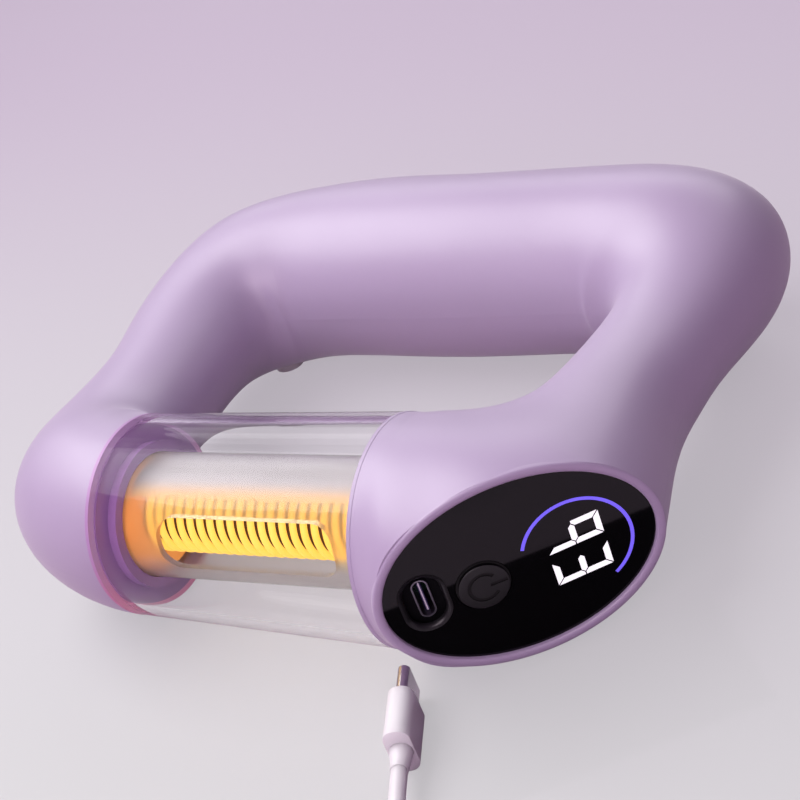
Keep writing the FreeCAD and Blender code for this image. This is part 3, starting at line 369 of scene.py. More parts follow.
# Heater: a wire wound round a dark ceramic core and glowing yellow, with a pale ceramic cap, given a painted
# glow, and a brass post at each end and a bright cutoff.  It stands in a frosted glass tube whose colour
# turns warm beside its slot, a painted glow of the coil's light.
DARK_CERAMIC = (0.085, 0.028, 0.006)
DARK_CERAMIC_SHADE = (0.06, 0.018, 0.004)
dark_ceramic = skinned("dark_ceramic", DARK_CERAMIC, DARK_CERAMIC_SHADE, roughness=0.8, bump=0.2)
dress(dark_ceramic, "coil_core")
PALE_CERAMIC = (0.92, 0.45, 0.14)
PALE_CERAMIC_SHADE = (0.86, 0.40, 0.12)
PAINTED_CAP_GLOW = (1.0, 0.36, 0.07, 1)
ceramic_with_painted_glow = skinned("ceramic_with_painted_glow", PALE_CERAMIC, PALE_CERAMIC_SHADE, roughness=0.7, bump=0.2)
# The caps are no lamp: their glow is painted light of the coil.
set_inputs(shader_of(ceramic_with_painted_glow), {"Emission Color": PAINTED_CAP_GLOW, "Emission Strength": 0.3})
dress(ceramic_with_painted_glow, "left_end_cap", "right_end_cap")
BRASS = (0.72, 0.52, 0.22)
BRASS_SHADE = (0.62, 0.44, 0.18)
brass = bare_metal("plain_brass", BRASS, BRASS_SHADE, roughness=0.3)
dress(brass, "left_terminal", "right_terminal")
TIN = (0.75, 0.75, 0.77)
TIN_SHADE = (0.66, 0.66, 0.68)
tin = bare_metal("bright_tin", TIN, TIN_SHADE, roughness=0.22)
dress(tin, "thermal_cutoff")

WIRE = 0.0015
COIL_PITCH = 0.0026
COIL_POINTS = 16
SPLINE_SHARE = 0.75
WIRE_BASE = (0.5, 0.25, 0.04, 1)
WIRE_GLOW = (1.0, 0.58, 0.075, 1)
WIRE_GLOW_PALE = (1.0, 0.66, 0.12, 1)
WIRE_PATCHES = 160.0
coil_low, coil_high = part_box("heating_coil")
coil_radius = (coil_high.y - coil_low.y - WIRE) / 2
coil_axis = (coil_low + coil_high) / 2
coil_turns = round((coil_high.x - coil_low.x - WIRE) / COIL_PITCH)
wire_glow, nodes, links, shader = new_material("glowing_wire")
spot = nodes.new("ShaderNodeTexCoord")
patches = nodes.new("ShaderNodeTexNoise")
patches.inputs["Scale"].default_value = WIRE_PATCHES
heat = nodes.new("ShaderNodeMix")
heat.data_type = "RGBA"
set_inputs(heat, {"A": WIRE_GLOW, "B": WIRE_GLOW_PALE})
links.new(spot.outputs["Object"], patches.inputs["Vector"])
links.new(patches.outputs["Fac"], heat.inputs["Factor"])
links.new(heat.outputs["Result"], shader.inputs["Emission Color"])
set_inputs(shader, {"Base Color": WIRE_BASE, "Roughness": 0.5, "Emission Strength": 0.95})


def free_curve(name, points, thick, finish):
    """A round tube on a smooth spline with these control points."""
    line = bpy.data.curves.new(name, "CURVE")
    line.dimensions = "3D"
    line.bevel_depth = thick / 2
    line.bevel_resolution = 5
    line.resolution_u = 4
    line.use_fill_caps = True
    spline = line.splines.new("NURBS")
    spline.points.add(len(points) - 1)
    for control, point in zip(spline.points, points):
        control.co = (*point, 1)
    spline.order_u = 3
    spline.use_endpoint_u = True
    line.materials.append(finish)
    piece = bpy.data.objects.new(name, line)
    scene.collection.objects.link(piece)
    return piece


def winding(step):
    """Control point of the wire after some steps, set outside the radius that the spline draws in to."""
    angle = 2 * math.pi * step / COIL_POINTS
    drawn_in = SPLINE_SHARE + (1 - SPLINE_SHARE) * math.cos(2 * math.pi / COIL_POINTS)
    reach = coil_radius / drawn_in
    along = coil_axis.x + COIL_PITCH * (step / COIL_POINTS - coil_turns / 2)
    return Vector((along, coil_axis.y + reach * math.cos(angle), coil_axis.z + reach * math.sin(angle)))


wire_points = [winding(step) for step in range(coil_turns * COIL_POINTS + 1)]
wire = free_curve("glowing_coil", wire_points, WIRE, wire_glow)
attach(wire, "housing")
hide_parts("heating_coil")

CLEAR_COAT = 0.15


def glass(name, colour, passing, roughness, refraction, transmission, coat_roughness):
    """Clear stock that lets the lamps' light through to what is inside."""
    made, nodes, links, shader = new_material(name)
    set_inputs(
        shader,
        {
            "Base Color": (*colour, 1),
            "Roughness": roughness,
            "IOR": refraction,
            "Transmission Weight": transmission,
            "Coat Weight": CLEAR_COAT,
            "Coat Roughness": coat_roughness,
        },
    )
    path = nodes.new("ShaderNodeLightPath")
    film = nodes.new("ShaderNodeBsdfTransparent")
    film.inputs["Color"].default_value = (*passing, 1)
    choose = nodes.new("ShaderNodeMixShader")
    links.new(path.outputs["Is Shadow Ray"], choose.inputs["Fac"])
    links.new(shader.outputs["BSDF"], choose.inputs[1])
    links.new(film.outputs["BSDF"], choose.inputs[2])
    links.new(choose.outputs["Shader"], nodes["Material Output"].inputs["Surface"])
    return made


FROST = (0.77, 0.75, 0.745)
FROST_PAINTED_GLOW = (0.92, 0.76, 0.42)
FROST_PASSING = (0.55, 0.54, 0.53)
PAINTED_GLOW_MIDDLE = 31.0
PAINTED_GLOW_FULL = 21.0
PAINTED_GLOW_END = 39.0
tube_low, tube_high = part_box("heater_tube")
tube_axis = (tube_low + tube_high) / 2
tube_radius = (tube_high.z - tube_low.z) / 2
frosted = glass(
    "frosted_glass",
    FROST,
    FROST_PASSING,
    roughness=0.33,
    refraction=1.2,
    transmission=0.94,
    coat_roughness=0.1,
)
# Painted glow: the glass's colour turns amber on the slot's side, standing in for the coil's light in the
# frost.
painted_glow_side = Matrix.Rotation(math.radians(-PAINTED_GLOW_MIDDLE), 3, "X") @ -BACKWARD
painted_glow_base = tube_axis.dot(painted_glow_side)
frost_painted_glow = place_group(
    frosted.node_tree.nodes,
    tone_fade,
    {
        "First": (*FROST, 1),
        "Last": (*FROST_PAINTED_GLOW, 1),
        "Direction": painted_glow_side,
        "From": painted_glow_base + tube_radius * math.cos(math.radians(PAINTED_GLOW_END)),
        "To": painted_glow_base + tube_radius * math.cos(math.radians(PAINTED_GLOW_FULL)),
    },
)
frosted.node_tree.links.new(frost_painted_glow.outputs["Colour"], shader_of(frosted).inputs["Base Color"])
dress(frosted, "heater_tube")

# Reflector: a white glazed half pipe inside the tube, above and behind the coil, that throws the heat
# forward.  It is bent from thin sheet, and its lip turns amber as a painted glow of the coil's light.
REFLECTOR_RADIUS = 0.0117
REFLECTOR_WALL = 0.0003
REFLECTOR_FROM = 60.0
REFLECTOR_SWEEP = 140.0
REFLECTOR_MARGIN = 0.0035
REFLECTOR_STEPS = 48
SMOOTH_UP_TO = 40.0
GLAZE = (0.36, 0.35, 0.355)
GLAZE_SHADE = (0.33, 0.32, 0.325)
PAINTED_GLOW_AMBER = (0.95, 0.55, 0.12, 1)
PAINTED_GLOW_AMBER_WIDE = 0.0042


def fade_skin(finish, skin_socket, values):
    """Fade a finish's own colour, on one socket of the fade, from or into another tone."""
    tree = finish.node_tree
    tone = place_group(tree.nodes, tone_fade, values)
    tree.links.new(tree.nodes["skin"].outputs["Colour"], tone.inputs[skin_socket])
    tree.links.new(tone.outputs["Colour"], shader_of(finish).inputs["Base Color"])


white_glaze = skinned("white_glaze", GLAZE, GLAZE_SHADE, roughness=0.5)
# Painted glow: the glaze fades to amber towards its lip, beside the coil.
lip_place = tube_axis.y - REFLECTOR_RADIUS * math.cos(math.radians(REFLECTOR_FROM))
fade_skin(
    white_glaze,
    "Last",
    {"First": PAINTED_GLOW_AMBER, "Direction": BACKWARD, "From": lip_place, "To": lip_place + PAINTED_GLOW_AMBER_WIDE},
)
shape = bmesh.new()
ends = [tube_low.x + REFLECTOR_MARGIN, tube_high.x - REFLECTOR_MARGIN]
lip = [shape.verts.new((x, tube_axis.y - REFLECTOR_RADIUS, tube_axis.z)) for x in ends]
edge = shape.edges.new(lip)
lean = Matrix.Rotation(math.radians(-REFLECTOR_FROM), 3, "X")
bmesh.ops.rotate(shape, verts=shape.verts, cent=tube_axis, matrix=lean)
bmesh.ops.spin(
    shape,
    geom=[*lip, edge],
    cent=tube_axis,
    axis=(-1, 0, 0),
    angle=math.radians(REFLECTOR_SWEEP),
    steps=REFLECTOR_STEPS,
)
bmesh.ops.recalc_face_normals(shape, faces=shape.faces)
bmesh.ops.solidify(shape, geom=shape.faces[:], thickness=REFLECTOR_WALL)
reflector = mesh_piece("coil_reflector", shape, white_glaze, SMOOTH_UP_TO)
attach(reflector, "housing")

# Sleeve: a clear polished pipe with a 2 mm wall, turned a little wider at the panel's end, where its middle
# drops forward by as much.  A soft seal stands at each end: the left one is pink below, a painted glow, and
# lilac above, and the right one is lilac like the loop.
SLEEVE_WALL = 0.002
SLEEVE_SIDES = 240
SLEEVE_SPREAD = 0.0014
CLEAR = (0.985, 0.98, 0.985)
SEAL_WIDE = 0.0008
SEAL_PROUD = 0.00006
SEAL_LIP = 0.0005
SEAL_PAINTED_GLOW = (0.74, 0.25, 0.44)
SEAL_PAINTED_GLOW_SECOND = (0.68, 0.22, 0.40)
SEAL_PALE = (0.50, 0.29, 0.55)
PAINTED_GLOW_UP_TO = -0.009
PALE_FROM = 0.008
UP = Vector((0, 0, 1))
sleeve_low, sleeve_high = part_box("clear_sleeve")
right_radius = (sleeve_high.z - sleeve_low.z) / 2
left_radius = right_radius - SLEEVE_SPREAD
left_end = Vector((sleeve_low.x, tube_axis.y, tube_axis.z))
right_end = Vector((sleeve_high.x, tube_axis.y - SLEEVE_SPREAD, tube_axis.z))


def bridge_rings(shape, rings):
    """Walls from each ring of vertices to the next, and from the last one to the first."""
    loops = [list({edge for vert in ring for edge in vert.link_edges}) for ring in rings]
    for near, far in zip(loops, loops[1:] + loops[:1]):
        bmesh.ops.bridge_loops(shape, edges=near + far)
    bmesh.ops.recalc_face_normals(shape, faces=shape.faces)


def round_pipe(rims):
    """A closed ring of walls through circles across the bar: middle and radius of each."""
    shape = bmesh.new()
    rings = []
    for middle, radius in rims:
        across = Matrix.Translation(middle) @ Matrix.Rotation(math.radians(90), 4, "Y")
        made = bmesh.ops.create_circle(shape, segments=SLEEVE_SIDES, radius=radius, matrix=across)
        rings.append(made["verts"])
    bridge_rings(shape, rings)
    return shape


clear = glass(
    "clear_plastic",
    CLEAR,
    CLEAR,
    roughness=0.02,
    refraction=1.1,
    transmission=1.0,
    coat_roughness=0.02,
)
wall_rims = [
    (left_end, left_radius),
    (right_end, right_radius),
    (right_end, right_radius - SLEEVE_WALL),
    (left_end, left_radius - SLEEVE_WALL),
]
sleeve = mesh_piece("sleeve_pipe", round_pipe(wall_rims), clear, SMOOTH_UP_TO)
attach(sleeve, "housing")
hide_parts("clear_sleeve")
# Painted glow: the left seal is pink low down and fades to lilac above.
seal_painted_glow = skinned("seal_painted_glow", SEAL_PAINTED_GLOW, SEAL_PAINTED_GLOW_SECOND, roughness=0.35)
fade_skin(
    seal_painted_glow,
    "First",
    {
        "Last": (*SEAL_PALE, 1),
        "Direction": UP,
        "From": left_end.z + PAINTED_GLOW_UP_TO,
        "To": left_end.z + PALE_FROM,
    },
)
for name, end, radius, inward, finish in (
    ("left_seal", left_end, left_radius, SEAL_WIDE, seal_painted_glow),
    ("right_seal", right_end, right_radius, -SEAL_WIDE, lilac_satin),
):
    inner = end + Vector((inward, 0, 0))
    rims = [
        (end, radius + SEAL_PROUD),
        (inner, radius + SEAL_PROUD),
        (inner, radius - SLEEVE_WALL - SEAL_LIP),
        (end, radius - SLEEVE_WALL - SEAL_LIP),
    ]
    seal = mesh_piece(name, round_pipe(rims), finish, SMOOTH_UP_TO)
    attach(seal, "housing")

# Insides: a board with a switch for the button, a pack of two wrapped cells in a cradle, and the moulded
# frame that carries the panel's parts.  They are stock parts in plain finishes, hidden by the closed loop.
INNER_BLACK = (0.03, 0.03, 0.032)
INNER_BLACK_SHADE = (0.025, 0.025, 0.027)
inner_black = skinned("inner_black", INNER_BLACK, INNER_BLACK_SHADE, roughness=0.55)
dress(inner_black, "panel_frame", "switch_plunger", "battery_cradle")
dress(tin, "tact_switch", "left_battery_tab", "right_battery_tab")
BOARD_GREEN = (0.02, 0.10, 0.05)
BOARD_GREEN_SHADE = (0.015, 0.085, 0.04)
solder_mask = skinned("solder_mask", BOARD_GREEN, BOARD_GREEN_SHADE, roughness=0.35)
dress(solder_mask, "control_board")
CELL_BLUE = (0.10, 0.22, 0.40)
CELL_BLUE_SHADE = (0.09, 0.20, 0.37)
cell_wrap = skinned("cell_wrap", CELL_BLUE, CELL_BLUE_SHADE, roughness=0.3)
dress(cell_wrap, "battery_front", "battery_back")
DIFFUSER = (0.85, 0.85, 0.88)
DIFFUSER_SHADE = (0.82, 0.82, 0.85)
diffuser = skinned("white_diffuser", DIFFUSER, DIFFUSER_SHADE, roughness=0.4)
dress(diffuser, "display_module", "light_ring")

# Panel: an oval cover of black polished plastic over the lamps, laid into the loop's rim.  The button and the
# port stand in its holes.
LENS_THICK = 0.002
GLOSS_BLACK = (0.003, 0.003, 0.0035)
GLOSS_BLACK_SHADE = (0.0025, 0.0025, 0.003)
mount = next(entry for entry in frame["record"]["mounts"] if entry["name"] == "charge_socket")
PANEL_OUT = Vector(mount["axis"]).normalized()
PANEL_ALONG = UP.cross(PANEL_OUT)
lens_low, lens_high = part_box("panel_lens")
lens_face = (lens_low + lens_high) / 2 + PANEL_OUT * LENS_THICK / 2
on_lens = Matrix.Translation(lens_face) @ Matrix((PANEL_ALONG, UP, PANEL_OUT)).transposed().to_4x4()
gloss_black = skinned(
    "gloss_black", GLOSS_BLACK, GLOSS_BLACK_SHADE, roughness=0.05, spread=0.02, bump=0.0
)
shader_of(gloss_black).inputs["Specular IOR Level"].default_value = 0.38
dress(gloss_black, "panel_lens")

# Black card of the studio, a painted reflection of shade: it lies on the floor before the panel and is seen
# only in gloss, so the cover mirrors the pale floor in its upper part and black below.  It doesn't belong to
# the heater.
CARD_REACH = 0.031
CARD_LONG = 0.066
CARD_RISE = 0.0003
# Painted reflection: the card's black stands in for shade on the floor before the panel.
REFLECTED_SHADE_BLACK = (0.002, 0.002, 0.002, 1)
reflected_shade_finish = new_material("reflected_shade_card")[0]
set_inputs(shader_of(reflected_shade_finish), {"Base Color": REFLECTED_SHADE_BLACK, "Roughness": 1.0})
shape = bmesh.new()
bmesh.ops.create_grid(shape, x_segments=1, y_segments=1, size=1 / 2)
bmesh.ops.scale(shape, vec=(CARD_LONG, CARD_REACH, 1), verts=shape.verts)
bmesh.ops.translate(shape, vec=(0, CARD_REACH / 2, 0), verts=shape.verts)
card_spot = Vector((lens_face.x, lens_face.y, CARD_RISE))
on_floor = Matrix.Translation(card_spot) @ Matrix((-PANEL_ALONG, PANEL_OUT, UP)).transposed().to_4x4()
bmesh.ops.transform(shape, matrix=on_floor, verts=shape.verts)
shade_card = mesh_piece("reflected_shade_card", shape, reflected_shade_finish)
shade_card.visible_camera = False
shade_card.visible_diffuse = False
shade_card.visible_transmission = False
shade_card.visible_shadow = False

# Rim bead: the rounded lilac edge round the panel, moulded with the loop's two halves in the same plastic.
# The cover is sunk half a millimetre into it.
RIM_LONG = 0.02765
RIM_SHORT = 0.02035
RIM_HALF = 0.00095
RIM_PROUD = 0.0005
LENS_SINK = 0.0005
RIM_STEPS = 8
RIM_SIDES = 180
rounding = [math.pi * step / RIM_STEPS for step in range(RIM_STEPS + 1)]
bead_section = [(-RIM_HALF, -LENS_SINK)]
bead_section += [(-RIM_HALF * math.cos(turn), LENS_SINK + RIM_PROUD * math.sin(turn)) for turn in rounding]
bead_section += [(RIM_HALF, -LENS_SINK)]
shape = bmesh.new()
rings = []
for offset, height in bead_section:
    oval = Matrix.Diagonal((RIM_LONG + offset, RIM_SHORT + offset, 1, 1))
    place = Matrix.Translation((0, 0, height)) @ oval
    made = bmesh.ops.create_circle(shape, segments=RIM_SIDES, radius=1.0, matrix=place)
    rings.append(made["verts"])
bridge_rings(shape, rings)
bmesh.ops.transform(shape, matrix=on_lens, verts=shape.verts)
bead = mesh_piece("rim_bead", shape, lilac_satin, SMOOTH_UP_TO)
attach(bead, "housing")

# Port: an oblong recess moulded in dull black, with a pressed steel socket standing in it.  The socket's
# tongue is navy plastic round a steel mid plate, and the recess has a rounded lip of satin black.
CUP_BLACK = (0.004, 0.004, 0.005)
CUP_BLACK_SHADE = (0.003, 0.003, 0.004)
cup_black = skinned("cup_black", CUP_BLACK, CUP_BLACK_SHADE, roughness=0.6, spread=0.05)
shader_of(cup_black).inputs["Specular IOR Level"].default_value = 0.1
dress(cup_black, "port_cup")
SOCKET_STEEL = (0.42, 0.40, 0.46)
SOCKET_STEEL_SHADE = (0.36, 0.34, 0.40)
socket_steel = bare_metal("socket_steel", SOCKET_STEEL, SOCKET_STEEL_SHADE, roughness=0.3)
dress(socket_steel, "usb_socket_shell")
TONGUE = (0.035, 0.025, 0.10)
TONGUE_SHADE = (0.03, 0.02, 0.09)
MID_PLATE = 0.00028
MID_PLATE_STEEL = (0.72, 0.70, 0.76, 1)
tongue_navy = skinned("tongue_navy", TONGUE, TONGUE_SHADE, roughness=0.4)
nodes, links = tongue_navy.node_tree.nodes, tongue_navy.node_tree.links
tongue_low, tongue_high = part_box("usb_tongue")
spot = nodes.new("ShaderNodeTexCoord")
across = nodes.new("ShaderNodeVectorMath")
across.operation = "DOT_PRODUCT"
across.inputs[1].default_value = PANEL_ALONG
plate = nodes.new("ShaderNodeMath")
plate.operation = "COMPARE"
plate.inputs[1].default_value = ((tongue_low + tongue_high) / 2).dot(PANEL_ALONG)
plate.inputs[2].default_value = MID_PLATE / 2
steel = nodes.new("ShaderNodeMix")
steel.data_type = "RGBA"
steel.inputs["B"].default_value = MID_PLATE_STEEL
links.new(spot.outputs["Object"], across.inputs[0])
links.new(across.outputs["Value"], plate.inputs[0])
links.new(plate.outputs["Value"], steel.inputs["Factor"])
links.new(nodes["skin"].outputs["Colour"], steel.inputs["A"])
links.new(steel.outputs["Result"], shader_of(tongue_navy).inputs["Base Color"])
dress(tongue_navy, "usb_tongue")

PORT_SPOT = Vector((-0.0188, 0, 0))
PORT_HALF = 0.00475
PORT_STRETCH = 0.0019
LIP_ROUND = 0.0011
LIP_PROUD = 0.00003
LIP_STEPS = 6
LIP_SIDES = 96
LIP_SMOOTH_UP_TO = 50.0
LIP_BLACK = (0.010, 0.010, 0.011)
LIP_BLACK_SHADE = (0.008, 0.008, 0.009)
lip_black = skinned("lip_black", LIP_BLACK, LIP_BLACK_SHADE, roughness=0.32, bump=0.2)
quarter = [math.pi / 2 * step / LIP_STEPS for step in range(LIP_STEPS + 1)]
lip_section = [(0, -LIP_ROUND / 2)]
lip_section += [(-LIP_ROUND * math.sin(turn), LIP_ROUND * (math.cos(turn) - 1)) for turn in quarter]
half_side = Matrix.Rotation(math.pi / LIP_SIDES, 4, "Z")
shape = bmesh.new()
rings = []
for offset, height in lip_section:
    place = Matrix.Translation((0, 0, height + LIP_PROUD)) @ half_side
    made = bmesh.ops.create_circle(shape, segments=LIP_SIDES, radius=PORT_HALF + offset, matrix=place)
    for vert in made["verts"]:
        vert.co.y += math.copysign(PORT_STRETCH, vert.co.y)
    rings.append(made["verts"])
bridge_rings(shape, rings)
bmesh.ops.transform(shape, matrix=on_lens @ Matrix.Translation(PORT_SPOT), verts=shape.verts)
lip = mesh_piece("port_lip", shape, lip_black, LIP_SMOOTH_UP_TO)
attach(lip, "housing")

# Button cap: a satin black disc on the pressing piece, with a polished wall and the sign for power sunk into
# its face.  The sign's grooves and the button's face seen round the cap are black as painted shade, and the
# wall's polished black is partly painted shade of the gap round the cap.  It stands a little proud of the
# cover and goes in with the button.
BUTTON_SPOT = Vector((-0.0075, -0.0010, 0))
CAP_RADIUS = 0.00495
CAP_PROUD = 0.00080
CAP_SUNK = 0.0003
CAP_SIDES = 120
CAP_EDGE = 0.00022
CAP_EDGE_STEPS = 4
CAP_WALL_TILT = 0.3
CAP_SMOOTH_UP_TO = 30.0
SIGN_RADIUS = 0.0029
SIGN_STROKE = 0.00072
SIGN_DEPTH = 0.00025
SIGN_GAP = 40.0
SIGN_STEPS = 48
SIGN_BAR_HALF = 0.58 * SIGN_RADIUS
SATIN_BLACK = (0.019, 0.020, 0.020)
SATIN_BLACK_SHADE = (0.016, 0.017, 0.017)
PAINTED_SHADE_BLACK = (0.004, 0.004, 0.004)
PAINTED_SHADE_BLACK_SECOND = (0.003, 0.003, 0.003)
satin_black = skinned("satin_black", SATIN_BLACK, SATIN_BLACK_SHADE, roughness=0.42, bump=0.2)
painted_shade_black = skinned("painted_shade_black", PAINTED_SHADE_BLACK, PAINTED_SHADE_BLACK_SECOND, roughness=0.6)
# Painted shade: the button's face, seen round the cap, is black as the shade of a gap.
dress(painted_shade_black, "power_button")


def arc_band(radius, wide, start, sweep, steps):
    """A flat band round the origin, from a start angle on through a sweep, in degrees."""
    shape = bmesh.new()
    spoke = [shape.verts.new((radius + side * wide / 2, 0, 0)) for side in (-1, 1)]
    line = shape.edges.new(spoke)
    aside = Matrix.Rotation(math.radians(start), 3, "Z")
    bmesh.ops.rotate(shape, verts=shape.verts, cent=(0, 0, 0), matrix=aside)
    swept = math.radians(sweep)
    bmesh.ops.spin(shape, geom=[*spoke, line], cent=(0, 0, 0), axis=(0, 0, 1), angle=swept, steps=steps)
    return shape


shape = bmesh.new()
bmesh.ops.create_cone(
    shape,
    segments=CAP_SIDES,
    radius1=CAP_RADIUS,
    radius2=CAP_RADIUS,
    depth=CAP_PROUD + CAP_SUNK,
    cap_ends=True,
    matrix=Matrix.Translation((0, 0, (CAP_PROUD - CAP_SUNK) / 2)),
)
top_rim = [edge for edge in shape.edges if all(vert.co.z > 0 for vert in edge.verts)]
bmesh.ops.bevel(
    shape,
    geom=top_rim,
    offset=CAP_EDGE,
    affect="EDGES",
    segments=CAP_EDGE_STEPS,
    profile=0.5,
    material=-1,
    clamp_overlap=True,
)
# Painted shade in part: the wall takes the polished black, darker than the face, as the shade of the gap.
for face in shape.faces:
    if abs(face.normal.z) < CAP_WALL_TILT:
        face.material_index = 1
cap = mesh_piece("button_cap", shape, satin_black)
cap.data.materials.append(gloss_black)
shape = arc_band(SIGN_RADIUS, SIGN_STROKE, SIGN_GAP, 360 - 2 * SIGN_GAP, SIGN_STEPS)
bar = Matrix.Translation((SIGN_RADIUS, 0, 0)) @ Matrix.Diagonal((SIGN_BAR_HALF, SIGN_STROKE / 2, 1, 1))
bmesh.ops.create_grid(shape, x_segments=1, y_segments=1, size=1.0, matrix=bar)
bmesh.ops.recalc_face_normals(shape, faces=shape.faces)
raised = bmesh.ops.extrude_face_region(shape, geom=shape.faces[:])
lifted = [part for part in raised["geom"] if isinstance(part, bmesh.types.BMVert)]
bmesh.ops.translate(shape, verts=lifted, vec=(0, 0, 2 * SIGN_DEPTH))
bmesh.ops.translate(shape, verts=shape.verts, vec=(0, 0, CAP_PROUD - SIGN_DEPTH))
bmesh.ops.recalc_face_normals(shape, faces=shape.faces)
# Painted shade: the sunk sign's grooves take the black of this cutter.
cutter = mesh_piece("sign_cutter", shape, painted_shade_black)
sinking = cap.modifiers.new("sign", "BOOLEAN")
sinking.object = cutter
sinking.operation = "DIFFERENCE"
sinking.solver = "EXACT"
sinking.material_mode = "TRANSFER"
ready = cap.evaluated_get(bpy.context.evaluated_depsgraph_get())
cap.data = bpy.data.meshes.new_from_object(ready)
cap.modifiers.remove(sinking)
bpy.data.objects.remove(cutter)
cap.data.transform(on_lens @ Matrix.Translation(BUTTON_SPOT))
cap.data.shade_smooth()
cap.data.set_sharp_from_angle(angle=math.radians(CAP_SMOOTH_UP_TO))
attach(cap, "button")

# Number: two lit digits that shine through the cover, read with the port at the bottom.  Each is made of
# strokes with mitred ends and hairline gaps between them, laid on the cover's face as thin lit plates.
DIGIT_WIDE = 0.0057
DIGIT_TALL = 0.0114
DIGIT_STROKE = 0.00145
DIGIT_LEAN = 0.05
DIGIT_ALONG = 0.0113
FIRST_RISE = 0.0027
SECOND_RISE = -0.0049
STROKE_GAP = 0.00024
LAMP_THICK = 0.00004
side, top, line = DIGIT_WIDE / 2, DIGIT_TALL / 2, DIGIT_STROKE
TOP_STROKE = ((-side, top), (side, top), (side - line, top - line), (line - side, top - line))
SIDE_STROKE = (
    (-side, top),
    (line - side, top - line),
    (line - side, line / 2),
    (line / 2 - side, 0),
    (-side, 0),
)
MIDDLE_STROKE = (
    (line / 2 - side, 0),
    (line - side, line / 2),
    (side - line, line / 2),
    (side - line / 2, 0),
    (side - line, -line / 2),
    (line - side, -line / 2),
)
STROKES = {
    "top": (TOP_STROKE, 1, 1),
    "bottom": (TOP_STROKE, 1, -1),
    "upper left": (SIDE_STROKE, 1, 1),
    "upper right": (SIDE_STROKE, -1, 1),
    "lower right": (SIDE_STROKE, -1, -1),
    "middle": (MIDDLE_STROKE, 1, 1),
}
NINE = ("top", "upper left", "upper right", "middle", "lower right")
THREE = ("top", "upper right", "middle", "lower right", "bottom")


def lamp_finish(name, colour, shade, strength):
    """A lit surface, a little uneven in tone."""
    made = skinned(name, colour, shade, roughness=0.3, mottle=300.0)
    shader = shader_of(made)
    skin = made.node_tree.nodes["skin"]
    made.node_tree.links.new(skin.outputs["Colour"], shader.inputs["Emission Color"])
    shader.inputs["Emission Strength"].default_value = strength
    return made


def thin_lamp(name, shape, finish):
    """A flat lit shape on the panel's plane, given a thickness and laid on the cover."""
    bmesh.ops.translate(shape, verts=shape.verts, vec=(0, 0, LAMP_THICK))
    bmesh.ops.recalc_face_normals(shape, faces=shape.faces)
    for face in shape.faces:
        if face.normal.z < 0:
            face.normal_flip()
    bmesh.ops.solidify(shape, geom=shape.faces[:], thickness=LAMP_THICK)
    bmesh.ops.transform(shape, matrix=on_lens, verts=shape.verts)
    piece = mesh_piece(name, shape, finish)
    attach(piece, "housing")
    return piece


WHITE_LIGHT = (0.95, 0.95, 0.96)
WHITE_LIGHT_SHADE = (0.85, 0.86, 0.90)
white_lamp = lamp_finish("white_lamp", WHITE_LIGHT, WHITE_LIGHT_SHADE, strength=0.75)
for name, lit, rise in (("first_digit", NINE, FIRST_RISE), ("second_digit", THREE, SECOND_RISE)):
    shape = bmesh.new()
    for stroke in lit:
        outline, across, upward = STROKES[stroke]
        corners = [shape.verts.new((u * across, v * upward, 0)) for u, v in outline]
        shape.faces.new(corners)
    bmesh.ops.recalc_face_normals(shape, faces=shape.faces)
    rims = bmesh.ops.inset_individual(
        shape, faces=shape.faces[:], thickness=STROKE_GAP / 2, use_even_offset=True
    )
    bmesh.ops.delete(shape, geom=rims["faces"], context="FACES")
    upright = Matrix(((0, 1, 0, DIGIT_ALONG), (-1, DIGIT_LEAN, 0, rise), (0, 0, 1, 0), (0, 0, 0, 1)))
    bmesh.ops.transform(shape, matrix=upright, verts=shape.verts)
    thin_lamp(name, shape, white_lamp)

# Arc round the number: a lit violet line, a half circle and a little more, that shines through the cover from
# a white diffuser below it.  It is laid on the cover's face as a thin lit band.
ARC_MIDDLE = Vector((0.01132, -0.00073, 0))
ARC_RADIUS = 0.01066
ARC_WIDTH = 0.0007
ARC_START = -59.0
ARC_END = 159.0
ARC_STEPS = 72
VIOLET_LIGHT = (0.15, 0.11, 0.75)
VIOLET_LIGHT_SHADE = (0.13, 0.09, 0.65)
violet_lamp = lamp_finish("violet_lamp", VIOLET_LIGHT, VIOLET_LIGHT_SHADE, strength=0.9)
shape = arc_band(ARC_RADIUS, ARC_WIDTH, ARC_START, ARC_END - ARC_START, ARC_STEPS)
bmesh.ops.translate(shape, verts=shape.verts, vec=ARC_MIDDLE)
thin_lamp("lit_arc", shape, violet_lamp)

# Charge lead: a white moulded plug with a bright tip, a short relief and a round lead of soft white plastic.
# It lies on the floor and runs out of the picture to a tied coil and the far plug.
LEAD_THICK = 0.0032
LEAD_REST = 0.0024
LEAD_START = Vector((0.03913, -0.09194, 0.0053))
PLUG_HEADING = -70.4
COIL_HEADING = -20.0
LEAD_COIL_RADIUS = 0.0212
LEAD_STEP = 0.0037
LEAD_TURNS = 4
LEAD_POINTS = 16
CLIMB_TURNS = 0.5
FAR_HEADING = 12.0
FAR_HEIGHT = 0.004
LEAD_WHITE = (0.84, 0.85, 0.85)
LEAD_WHITE_SHADE = (0.80, 0.81, 0.81)
lead_white = skinned("lead_white", LEAD_WHITE, LEAD_WHITE_SHADE, roughness=0.35)
set_inputs(
    shader_of(lead_white),
    {"Subsurface Weight": 0.6, "Subsurface Radius": (1.0, 1.0, 1.0), "Subsurface Scale": 0.004},
)


def heading(degrees):
    """Level direction at an angle from the x axis."""
    return Vector((math.cos(math.radians(degrees)), math.sin(math.radians(degrees)), 0))


def runs(start, steps):
    """Route from a point by runs: heading, length and the height reached."""
    points = [Vector(start)]
    for degrees, length, height in steps:
        step = points[-1] + heading(degrees) * length
        points.append(Vector((step.x, step.y, height)))
    return points


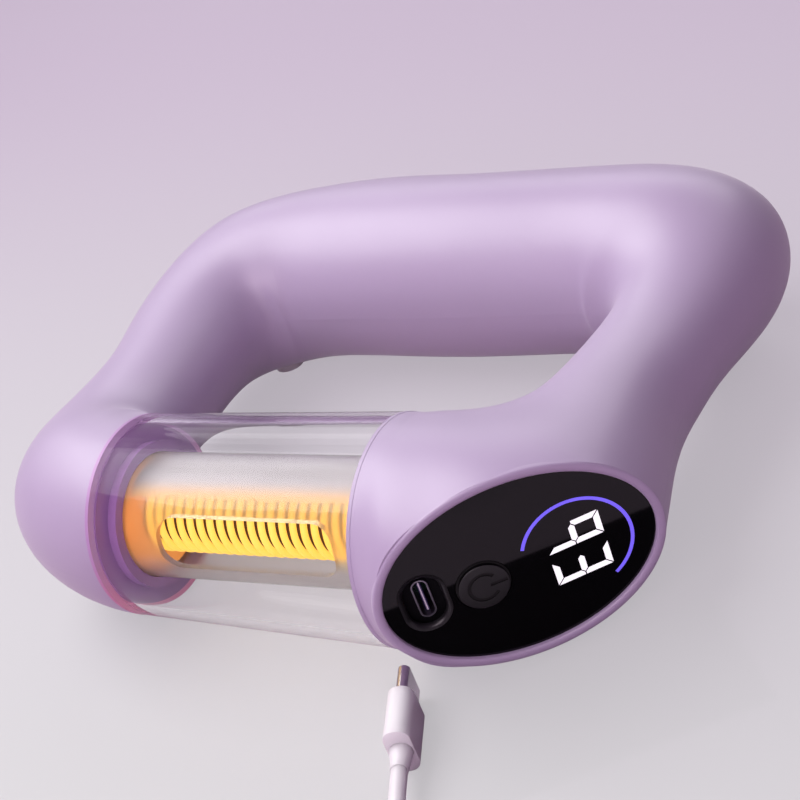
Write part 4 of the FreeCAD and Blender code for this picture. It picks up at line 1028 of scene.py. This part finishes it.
lead_points = runs(
    LEAD_START,
    (
        (PLUG_HEADING, 0.009, LEAD_START.z),
        (-66, 0.011, 0.0039),
        (-58, 0.013, 0.0025),
        (-47, 0.015, LEAD_REST),
        (-34, 0.016, LEAD_REST),
        (COIL_HEADING, 0.013, LEAD_REST),
    ),
)
lead_ahead = heading(COIL_HEADING)
coil_first = lead_points[-1] + lead_ahead * LEAD_THICK
coil_middle = coil_first + UP.cross(lead_ahead) * LEAD_COIL_RADIUS
coil_spoke = coil_first - coil_middle
coil_angle = math.atan2(coil_spoke.y, coil_spoke.x)


def put_away(turns):
    """Control point of the put-away coil: loops that spiral in, climb a layer and spiral out again."""
    inward = min(turns, LEAD_TURNS - turns)
    climb = min(1.0, max(0.0, (turns - LEAD_TURNS / 2) / CLIMB_TURNS + 1 / 2))
    radius = (LEAD_COIL_RADIUS - LEAD_STEP * inward) / math.cos(math.pi / LEAD_POINTS)
    angle = coil_angle + 2 * math.pi * turns
    return coil_middle + Vector((math.cos(angle), math.sin(angle), 0)) * radius + UP * (LEAD_STEP * climb)


coil_points = [put_away(step / LEAD_POINTS) for step in range(LEAD_TURNS * LEAD_POINTS + 1)]
tail_start = coil_first + lead_ahead * LEAD_THICK + UP * LEAD_STEP
tail_points = runs(
    tail_start,
    (
        (COIL_HEADING, 0.008, tail_start.z),
        (-9, 0.010, 0.0052),
        (3, 0.010, FAR_HEIGHT),
        (FAR_HEADING, 0.008, FAR_HEIGHT),
    ),
)
lead = free_curve("white_lead", lead_points + coil_points[1:-1] + tail_points, LEAD_THICK, lead_white)
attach(lead, "housing")
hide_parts("charge_lead", "lead_coil", "lead_tail")
dress(lead_white, "lead_plug_body", "lead_relief", "lead_far_relief", "lead_far_plug")
dress(tin, "lead_plug_tip", "lead_far_tip")
TIE = (0.7, 0.7, 0.71)
TIE_SHADE = (0.62, 0.62, 0.63)
tie_band = skinned("tie_band", TIE, TIE_SHADE, roughness=0.8, bump=0.3)
dress(tie_band, "lead_tie")
